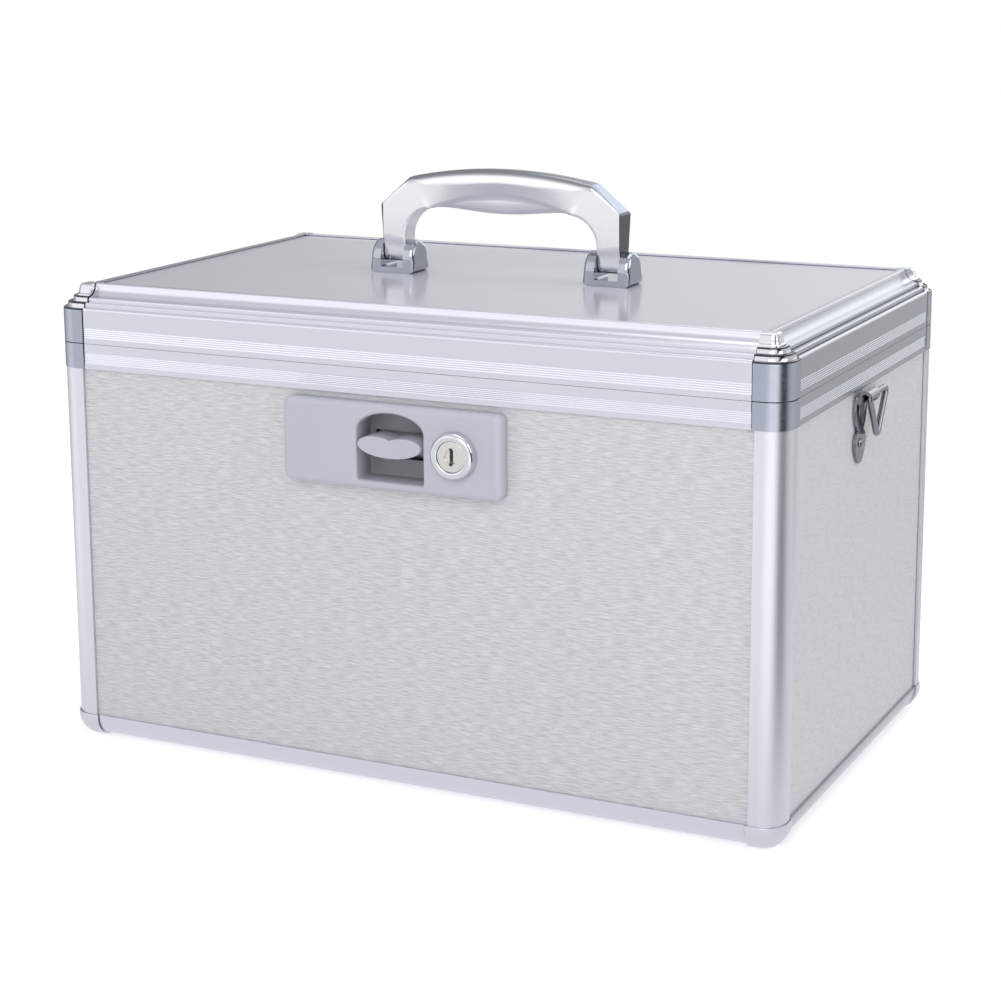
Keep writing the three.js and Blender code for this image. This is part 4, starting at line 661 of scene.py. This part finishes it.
stem, tail, lug, root = (
    slab(name, rounded_plan(centre, half, radius, steps), start, end, moulded_abs)
    for name, centre, half, radius, steps, start, end in (
        ("stem", (0, latch_z), (11.0, 3.5), 0.6, 4, blade_back - 1, pivot_y),
        ("tail", (0, latch_z), (7.0, 1.8), 0.4, 4, pivot_y - 2, pivot_y + 9),
        ("lug", (12.9, 137.85), (3.0, 1.4), 0.3, 3, pivot_y - 2, pivot_y + 7.2),
        ("root", (7.5, 139.3), (8.4, 2.8), 0.3, 3, pivot_y, pivot_y + 3.4)))


def turned(name, profile, centre, axis, steps, finish):
    """A profile of (radius, place) points turned round an axis along X or Y through centre: one of the other
    two ways is r cos t, and Z is r sin t."""
    radius, place = np.asarray(profile, float).T
    turn = np.linspace(0, 2 * math.pi, steps, endpoint=False)
    across, height = centre[0] + np.outer(np.cos(turn), radius), centre[1] + np.outer(np.sin(turn), radius)
    along = np.broadcast_to(place, across.shape)
    rings = np.stack([along, across, height] if axis == "x" else [across, along, height], -1)
    return make(name, rings, finish, closed=True)


def rod(radius, start, end):
    """The profile of a plain round bar."""
    return [(0, start), (radius, start), (radius, end), (0, end)]


boss_profile = [(1.6, -15.9), (3.1, -15.9), (3.4, -15.6), (3.4, 15.6), (3.1, 15.9), (1.6, 15.9)]
boss = turned("boss", boss_profile, (pivot_y, latch_z), "x", 40, moulded_abs)
pin_bore = turned("pin_bore", rod(1.6, -17, 17), (pivot_y, latch_z), "x", 40, moulded_abs)
carve(paddle, pin_bore, union=[stem, apron, tail, lug, root, boss])
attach(paddle, "latch_lever")
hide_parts("latch_paddle")

# Lock: a cam lock with a chromed brass body, a domed bezel, and a nickel plug with a keyway in a
# shallow dish. The nut behind the plate holds it.
bezel_edge, bezel_seat, barrel_back = -105.4, -104.25, -84.2
bezel_radius, barrel_radius, mouth_radius, plug_hole = 9.5, 7.6, 6.2, 5.5
plug_face, plug_back = -107.7, -77.5


def bright_plate(name, dark, light, smooth, dull):
    """Plating over polished metal: it mirrors what is round it, a little bent by waves of 17 mm, with a faint
    cloud of tone as wide, and duller specks, drawn at 1.1 mm so that they show."""
    material, tree, place = blank(name)
    wave = lay(tree, "TexNoise", {"Vector": place, "Scale": 60.0, "Detail": 2.0})
    speck = lay(tree, "TexNoise", {"Vector": place, "Scale": 900.0, "Detail": 3.0})
    tone = lay(tree, "Mix", {0: wave, 6: linear(dark), 7: linear(light)}, data_type="RGBA").outputs[2]
    rough = lay(tree, "MapRange", {"Value": speck, "From Min": 0.35, "From Max": 0.75,
                                   "To Min": smooth, "To Max": dull})
    coat(tree, tone, rough, wave, 0.05, 0.0002, Metallic=1.0)
    return material


polished_chrome = bright_plate("polished_chrome", "d2d4d8", "dee0e3", 0.03, 0.09)
bezel_profile = np.concatenate([
    [[barrel_radius, barrel_back], [barrel_radius, bezel_seat], [9.3, bezel_seat],
     [bezel_radius, bezel_seat - 0.2], [bezel_radius, bezel_edge]],
    quarter((7.7, bezel_edge), (1.8, 2.8), 0, -90, 12), quarter((7.2, -107.8), (1.0, 0.4), -90, -180, 5),
    [[mouth_radius, -107.4], [mouth_radius, -105.0], [plug_hole, -105.0], [plug_hole, barrel_back]]])
lock_body = turned("lock_bezel_and_barrel", bezel_profile, (lock_x, latch_z), "y", 72, polished_chrome)
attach(lock_body, "case")
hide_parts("lock_body")

# Nickel plate over turned brass: fine rings from the lathe, 0.2 mm apart round the plug's axis, so its
# gloss fans.
turned_nickel, tree, place = blank("turned_nickel_plug")
axis_at = lay(tree, "Mapping", {"Vector": place, "Location": (-lock_x / 1000, 0, -latch_z / 1000)})
part = lay(tree, "SeparateXYZ", {0: axis_at})
flat_at = lay(tree, "CombineXYZ", {"X": part.outputs["X"], "Z": part.outputs["Z"]})
reach = lay(tree, "VectorMath", {0: flat_at}, operation="LENGTH").outputs["Value"]
rings_at = lay(tree, "CombineXYZ", {"X": reach})
lathe = lay(tree, "TexNoise", {"Vector": rings_at, "Scale": 5000.0, "Detail": 2.0})
rough = lay(tree, "MapRange", {"Value": lathe, "To Min": 0.2, "To Max": 0.34})
coat(tree, linear("d9d7d2"), rough, lathe, 0.15, 0.00003, Metallic=1.0)

plug_profile = [(0, plug_face), (5.75, plug_face), (6.0, plug_face + 0.12), (6.1, plug_face + 0.4),
                (6.1, -105.3), (5.4, -105.3), (5.4, barrel_back), (2.5, barrel_back), (2.5, plug_back),
                (0, plug_back)]
plug = turned("lock_plug_turned", plug_profile, (lock_x, latch_z), "y", 72, turned_nickel)
key_outline = rounded_plan((lock_x, latch_z), (0.75, 3.5), 0.25, 3)
key_cutter = slab("key_cutter", key_outline, plug_face - 1, plug_face + 8, turned_nickel)
dish_profile = [(0, plug_face - 1), (2.9, plug_face - 1), (2.9, plug_face), (2.5, plug_face + 0.6),
                (0, plug_face + 0.6)]
dish_cutter = turned("dish_cutter", dish_profile, (lock_x, latch_z), "y", 48, turned_nickel)
carve(plug, dish_cutter, key_cutter)
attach(plug, "lock_plug")
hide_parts("lock_plug")

# Latch works and hinges: zinc-plated pressed steel. Hook, keeper, housing, cam, hinges and pins are
# the CAD solids with a new finish. The housing's rivets and the coil of the spring are made here.

# Zinc plate: a pale grey in clouds of 6 mm, and a spangle of 1.4 mm that breaks up its gloss.
plated_steel, tree, place = blank("zinc_plated_steel")
spangle = lay(tree, "TexVoronoi", {"Vector": place, "Scale": 700.0}, feature="F1")
cloud = lay(tree, "TexNoise", {"Vector": place, "Scale": 160.0, "Detail": 4.0})
tone = lay(tree, "Mix", {0: cloud, 6: linear("a9adb3"), 7: linear("c4c6ca")}, data_type="RGBA").outputs[2]
rough = lay(tree, "MapRange", {"Value": spangle, "To Min": 0.3, "To Max": 0.42})
coat(tree, tone, rough, cloud, 0.06, 0.00005, Metallic=1.0)
recoat(plated_steel, "latch_hook", "lid_keeper", "latch_housing", "latch_pin", "lock_cam")
for kind in ("hinge_body_leaf", "hinge_lid_leaf", "hinge_pin", "handle_pin"):
    recoat(plated_steel, f"{kind}_left", f"{kind}_right")


def rivet(name, face, out_way, centre, axis, radius, height, finish):
    """A low domed head on a face: its radius is r cos t where its height is h sin t."""
    turn = np.linspace(0, math.pi / 2, 7)
    dome = np.stack([radius * np.cos(turn), height * np.sin(turn)], -1)
    profile = np.concatenate([[[0, -0.3], [radius, -0.3]], dome]) * (1, out_way) + (0, face)
    head = turned(name, profile, centre, axis, 32, finish)
    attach(head, "case")
    return head


for index, centre in enumerate(((-21.9, latch_z), (0, 123.5))):
    head = rivet(f"housing_rivet_{index}", -91.1, 1, centre, "y", 2.6, 1.0, plated_steel)

spring_low, spring_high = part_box("latch_spring")
coil_radius, coil_wire, coil_turns = 2.6, 0.42, 6
coil_at = (spring_low + spring_high) / 2 * 1000
coil_low, coil_high = spring_low.z * 1000 + coil_wire, spring_high.z * 1000 - coil_wire
# A helix with a round wire: the wire's circle stands in the plane through the coil's axis, and rises
# evenly as it turns.
share = np.linspace(0, 1, coil_turns * 24 + 1)[:, None]
around = np.linspace(0, 2 * math.pi, 12, endpoint=False)
turn, reach = 2 * math.pi * coil_turns * share, coil_radius + coil_wire * np.cos(around)
rings = np.stack([coil_at.x + reach * np.cos(turn), coil_at.y - 1000 * middle_y + reach * np.sin(turn),
                  coil_low + (coil_high - coil_low) * share + coil_wire * np.sin(around)], -1)
coil = make("latch_coil", rings, plated_steel)
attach(coil, "case")
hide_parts("latch_spring")
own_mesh(coil)

# Strap anchors and rings: pressed steel, dark nickel, riveted through the side walls. Each is a
# pierced eye-shaped plate curled into a roll that holds a bent wire ring.
anchor_y, anchor_height = -8.0, 27.4
dark_nickel = bright_plate("dark_nickel_plate", "85868c", "9899a0", 0.03, 0.08)
ring_x, ring_z, ring_wire = 163.3, 159.9, 1.3
roll_radius, roll_half = 2.7, 6.0
ring_width, ring_drop, ring_bend = 23.7, 18.5, 1.6
ring_front = anchor_y - 0.7
anchor_back, anchor_face = 158.8, 160.2
roll_low, roll_high, roll_edge = anchor_y - roll_half, anchor_y + roll_half, 0.25

# Half of the plate's outline, as (distance from the middle, share of the height), from the roll down.
anchor_side = np.concatenate([bowed([
    ((6, 0), (7.5, 0.095), (7.5, 0.19)), ((7.5, 0.19), (7.5, 0.35), (3.5, 0.51)),
    ((3.5, 0.51), (7, 0.585), (7, 0.66)), ((7, 0.66), (7, 0.83), (1.75, 1))], 8), [[1.75, 1]]])
anchor_both = np.concatenate([anchor_side, anchor_side[::-1] * (-1, 1)])
plate_line = (anchor_y, ring_z) + anchor_both * (1, -anchor_height)
for side, word in ((-1, "left"), (1, "right")):
    layers = [(spread(plate_line, out), side * x)
              for out, x in ((0, anchor_back), (0, 159.9), (0.12, 160.1), (0.35, anchor_face))]
    anchor = make(f"anchor_plate_{word}", side_rings(layers), dark_nickel)
    eye = (side * ring_x, ring_z)
    roll_profile = [
        (0, roll_low), (roll_radius - roll_edge, roll_low), (roll_radius, roll_low + roll_edge),
        (roll_radius, roll_high - roll_edge), (roll_radius - roll_edge, roll_high), (0, roll_high)]
    roll = turned("roll", roll_profile, eye, "y", 48, dark_nickel)
    web_line = rounded_plan((side * (anchor_back + ring_x) / 2, ring_z - roll_radius / 2),
                            ((ring_x - anchor_back) / 2, roll_radius / 2), 0.05, 1)
    web = slab("web", web_line, roll_low, roll_high, dark_nickel)
    bore_rod = rod(ring_wire + 0.1, anchor_y - 8, anchor_y + 8)
    roll_bore = turned("roll_bore", bore_rod, eye, "y", 40, dark_nickel)
    # The roll's front is open from straight down to 45 degrees outwards, where the ring swings.
    clear, reach, swing = ring_wire + 0.15, 2 * roll_radius, math.radians(45)
    across, down = np.array((math.cos(swing), math.sin(swing))), np.array((math.sin(swing), -math.cos(swing)))
    gap = np.concatenate([
        [[-clear, 0], [-clear, -reach], [reach, -reach], clear * across + reach * down, clear * across],
        quarter((0, 0), (clear, clear), 45, 135, 6)]) * (side, 1) + eye
    roll_mouth = slab("roll_mouth", gap, anchor_y - 8, ring_front + 3.8, dark_nickel)
    window = quarter((anchor_y, ring_z - 0.24 * anchor_height), (3.5, 3.75), 0, 360, 40)[:-1]
    window_cutter = slab("window_cutter", window, side * 158, side * 161, dark_nickel, side_rings)
    carve(anchor, roll_bore, roll_mouth, window_cutter, union=[roll, web])
    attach(anchor, "case")
    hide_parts(f"strap_anchor_{word}")
    rivet_at = (anchor_y, ring_z - 0.71 * anchor_height)
    head = rivet(f"anchor_rivet_{word}", side * 160.1, side, rivet_at, "x", 2.4, 1.3, dark_nickel)

    # The ring: a round wire carried round three bends, with straight sides between them.
    slope = math.atan2(ring_width / 2, ring_drop)
    in_y = ring_bend * (1 + math.sin(slope)) / math.cos(slope)
    bends = ((ring_front + ring_width - in_y, ring_z - ring_bend, math.pi / 2, -slope),
             (ring_front + ring_width / 2, ring_z - ring_drop + ring_bend / math.sin(slope),
              -slope, slope - math.pi),
             (ring_front + in_y, ring_z - ring_bend, slope - math.pi, -1.5 * math.pi))
    bend_turn = np.concatenate([np.linspace(start, end, 13) for _, _, start, end in bends])[:, None]
    bend_y, bend_z = np.repeat([bend[:2] for bend in bends], 13, axis=0).T[..., None]
    around = np.linspace(0, 2 * math.pi, 24, endpoint=False)
    wire_out = ring_bend + ring_wire * np.cos(around)
    ring_y, ring_up = bend_y + np.cos(bend_turn) * wire_out, bend_z + np.sin(bend_turn) * wire_out
    ring_out = np.broadcast_to(side * (ring_x + ring_wire * np.sin(around)), ring_y.shape)
    rings = np.stack([ring_out, ring_y, ring_up], -1)
    ring = make(f"ring_{word}", rings, dark_nickel, closed=True)
    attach(ring, f"ring_{word}")
    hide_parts(f"strap_ring_{word}")

# Handle: a die-cast grip, satin chromed, that turns on pins in two polished fork brackets. Its crown
# is bevelled, its belly swells for the fingers, and each end has a flat facet.
top_face, handle_span, pin_rise = 196.05, 100.0, 8.5
handle_z, pin_hole = top_face + pin_rise, 1.7
leg_head, leg_foot, leg_out = 4.0, 4.5, 55.15
grip_half = handle_span / 2 - 7.5
grip_rise, grip_end_rise, facet_rise, facet_out = 46.0, 41.5, 29.5, 55.8
inner_radius, inner_rise, inner_edge, inner_top, belly_swell = 13.0, 28.5, 44.8, 34.8, 7.8
arc_x = inner_edge - inner_radius

bracket_chrome = bright_plate("chromed_zinc_bracket", "a3a7b0", "b2b6bf", 0.05, 0.1)

# Satin chrome over the cast grip, with waves of 18 mm and a brushing drawn at 0.9 mm so that it shows.
# Its tone is painted: bright below the crown, a painted shade on the crown, and a painted shade each
# on the end facets and the outer sides.
# All are told apart by place: the crown's line falls as x squared, a facet lies above a line that
# slopes down outwards, and a side is what lies furthest out.
cast_satin, tree, place = blank("satin_chromed_casting")
wave = lay(tree, "TexNoise", {"Vector": place, "Scale": 55.0, "Detail": 2.0})
brush = lay(tree, "TexNoise", {"Vector": place, "Scale": 1100.0, "Detail": 3.0})
rough = lay(tree, "MapRange", {"Value": brush, "From Min": 0.3, "From Max": 0.7,
                               "To Min": 0.17, "To Max": 0.27})
part = lay(tree, "SeparateXYZ", {0: place})
across = lay(tree, "Math", {0: part.outputs["X"], 1: part.outputs["X"]}, operation="MULTIPLY")
fall = lay(tree, "Math", {0: across, 1: -(grip_rise - grip_end_rise) * 1000 / grip_half ** 2,
                          2: (top_face + grip_rise) / 1000}, operation="MULTIPLY_ADD")
under = lay(tree, "Math", {0: fall, 1: part.outputs["Z"]}, operation="SUBTRACT")
# This mask runs from the painted shade on the crown to the bright tone below it.
polished = lay(tree, "MapRange", {"Value": under, "From Min": 0.0008, "From Max": 0.0036}, **smooth_step)
outward = lay(tree, "Math", {0: part.outputs["X"]}, operation="ABSOLUTE")
facet_slope = (grip_end_rise - facet_rise) / (facet_out - grip_half)
facet_level = lay(tree, "Math", {0: outward, 1: facet_slope, 2: part.outputs["Z"]}, operation="MULTIPLY_ADD")
facet_at = (top_face + facet_rise + facet_slope * facet_out) / 1000
facet = lay(tree, "MapRange", {"Value": facet_level, "From Min": facet_at - 0.0006,
                               "From Max": facet_at - 0.0003})
outer_side = lay(tree, "MapRange", {"Value": outward, "From Min": 0.0548, "From Max": 0.0551})
# The crown's tone is a painted shade; the facets and the outer sides get painted shades of their own.
tone = linear("8b8d93")
for where, shade in ((polished, "eeeff1"), (facet, "a2abba"), (outer_side, "5a5c61")):
    tone = lay(tree, "Mix", {0: where, 6: tone, 7: linear(shade)}, data_type="RGBA").outputs[2]
coat(tree, tone, rough, wave, 0.08, 0.0003, Metallic=1.0)


def run(points, marks, at):
    """Places along a line of points that passes each at its own mark, at the marks asked for."""
    points = np.asarray(points, float)
    return np.stack([np.interp(at, marks, points[:, 0]), np.interp(at, marks, points[:, 1])], -1)


# Half of the grip, from a leg's foot (mark 0) by the facet (marks 2 to 3) to the middle (mark 4). An
# outer and an inner line run along it, and the section at a mark spans from one to the other.
marks = np.concatenate([np.linspace(0, 0.5, 12), np.linspace(0.5, 1, 8)[1:], np.linspace(1, 1.97, 14)[1:],
                        [2.03], np.linspace(2.1, 2.9, 8), [2.97, 3.03], np.linspace(3.1, 4, 26)])
crown_x = np.linspace(grip_half, 0, 30)
crown_line = np.stack([crown_x, grip_rise - (grip_rise - grip_end_rise) * (crown_x / grip_half) ** 2], -1)
outer_points = np.concatenate([
    [[leg_out, leg_foot], [leg_out, pin_rise], [leg_out, 17.0], [facet_out, facet_rise],
     [grip_half, grip_end_rise]], crown_line[1:]])
outer_marks = np.concatenate([[0, 0.5, 1, 2, 3], 3 + (1 - crown_x / grip_half)[1:]])
arc_mark = 3.22
arc = quarter((arc_x, inner_rise - inner_radius), (inner_radius,) * 2, 0, 90, 15)
belly_x = np.linspace(arc_x, 0, 20)
belly_line = np.stack([belly_x, inner_top - (inner_top - inner_rise) * (belly_x / arc_x) ** 2], -1)
inner_points = np.concatenate([[[inner_edge, leg_foot], [inner_edge, pin_rise]], arc, belly_line[1:]])
inner_marks = np.concatenate([[0, 0.5], np.linspace(1, arc_mark, 16),
                              arc_mark + (4 - arc_mark) * (1 - belly_x / arc_x)[1:]])
outer, inner = run(outer_points, outer_marks, marks), run(inner_points, inner_marks, marks)

# The section's measures by mark: half its depth (a leg's head is round), the flat of the crown, the
# bevel beside it, the waist that falls away below, and the belly and its soft lip.
rise = outer[:, 1]
low_turn = np.clip((pin_rise - rise) / leg_head, 0, 1)
half_depth_at = np.interp(rise, [pin_rise, 12.5, 15.5, facet_rise], [leg_head, 4.3, 5.1, 5.2])
half_depth_at = half_depth_at * np.sqrt(1 - 0.98 * low_turn ** 2)
top_half = np.interp(marks, [1.8, 2.0, 3.0, 3.1, 4], [1.0, 1.0, 0.5, 0.35, 0.2]) * half_depth_at
bevel = np.interp(marks, [0, 1.9, 2.0, 3.0, 3.2, 3.6, 4], [0.02, 0.02, 0.3, 2.0, 4.6, 5.8, 5.6])
belly = belly_swell * np.clip(1 - (inner[:, 0] / arc_x) ** 2, 0, 1) ** 1.3 * (marks > 3.2) + 0.05
lip = np.interp(marks, [3.0, 3.3], [0.05, 0.75])
length = np.linalg.norm(outer - inner, axis=1)
belly_turn = np.linspace(0, math.pi / 2, 9)[1:]
flat = np.zeros_like(length)
waist = half_depth_at - np.interp(marks, [3.0, 3.25, 4], [0.0, 0.9, 2.2])
half_section = [
    *((top_half + (half_depth_at - top_half) * math.sin(turn), length - bevel * (1 - math.cos(turn)))
      for turn in np.linspace(0, math.pi / 2, 8)),
    *((half_depth_at + (waist - half_depth_at) * share, 0.9 + (length - bevel - 0.9) * (1 - share))
      for share in (0.35, 0.7, 1.0)), (waist - 0.3 * lip - 0.3, flat + 0.05),
    *(((waist - lip - 0.3) * math.cos(turn), -belly * math.sin(turn) - 0.02) for turn in belly_turn)]
near = np.stack([np.stack(pair, -1) for pair in half_section], 1)
far = near[:, ::-1] * (-1, 1)
section = soften(np.concatenate([near, far[:, 1:]], 1), 0.55, 3)
normal = (outer - inner) / length[:, None]
half_rings = np.stack([inner[:, None, 0] + section[..., 1] * normal[:, None, 0], -section[..., 0],
                       top_face + inner[:, None, 1] + section[..., 1] * normal[:, None, 1]], -1)
rings = np.concatenate([half_rings, half_rings[-2::-1] * (-1, 1, 1)])
grip = make("cast_grip", rings, cast_satin, 38.0)
carve(grip, turned("grip_bore", rod(pin_hole, -60, 60), (0, handle_z), "x", 40, cast_satin))
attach(grip, "handle")
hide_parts("handle_grip")

# A bracket's cheeks are arches with a round edge of 2.4 mm, drawn in layers along X. They stand just
# clear of the board, and the slot for the leg and the pin's blind bore are cut after.
foot_line, cheek_edge, bracket_half = top_face + 0.05, 2.4, 10.5
cheek_half, cheek_spring, cheek_rise = 7.5, top_face + 5.5, 8.5
fork_half, fork_floor, blind_wall = 5.35, top_face + 2.6, 1.8
cheek_arch = quarter((0, cheek_spring), (cheek_half, cheek_rise), 0, 180, 40)
cheek = np.concatenate([[[cheek_half, foot_line]], cheek_arch, [[-cheek_half, foot_line]]])
for side, word in ((-1, "left"), (1, "right")):
    middle = side * handle_span / 2
    low, high = middle - bracket_half, middle + bracket_half
    layers = [(np.maximum(line, (-np.inf, foot_line)), x) for line, x in eased(cheek, cheek_edge, low, 10)]
    layers += [(line, low + high - x) for line, x in layers[::-1]]
    bracket = make(f"fork_bracket_{word}", side_rings(layers), bracket_chrome)
    slot_line = rounded_plan((middle, fork_floor + 10), (fork_half, 10), 0.8, 4)
    slot_cut = slab("slot_cut", slot_line, -9, 9, bracket_chrome)
    pin_line = rod(pin_hole, low - 1, high - blind_wall)
    pin_cut = turned("pin_cut", pin_line, (0, handle_z), "x", 40, bracket_chrome)
    carve(bracket, slot_cut, pin_cut)
    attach(bracket, "lid")
    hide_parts(f"handle_bracket_{word}")

# Tray: pale injection-moulded polypropylene with six cells, a little milky and softly glossy. Its
# colour drifts over 56 mm, and its grain is drawn at 0.8 mm. The CAD solid keeps its shape.
tray_plastic, tree, place = blank("moulded_polypropylene_tray")
flow = lay(tree, "TexNoise", {"Vector": place, "Scale": 18.0, "Detail": 2.0})
grain = lay(tree, "TexNoise", {"Vector": place, "Scale": 1300.0, "Detail": 2.0})
tone = lay(tree, "Mix", {0: flow, 6: linear("d9dbdf"), 7: linear("e3e4e7")}, data_type="RGBA").outputs[2]
rough = lay(tree, "MapRange", {"Value": grain, "To Min": 0.42, "To Max": 0.52})
coat(tree, tone, rough, grain, 0.06, 0.00003, Subsurface_Weight=0.15, Subsurface_Scale=0.002)
recoat(tray_plastic, "inner_tray")

# Finish: every piece made here gets weighted normals, so its flat faces stay flat.
for made in [piece for piece in scene.objects if piece.type == "MESH" and piece.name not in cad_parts]:
    made.modifiers.new("flat faces stay flat", "WEIGHTED_NORMAL").keep_sharp = True
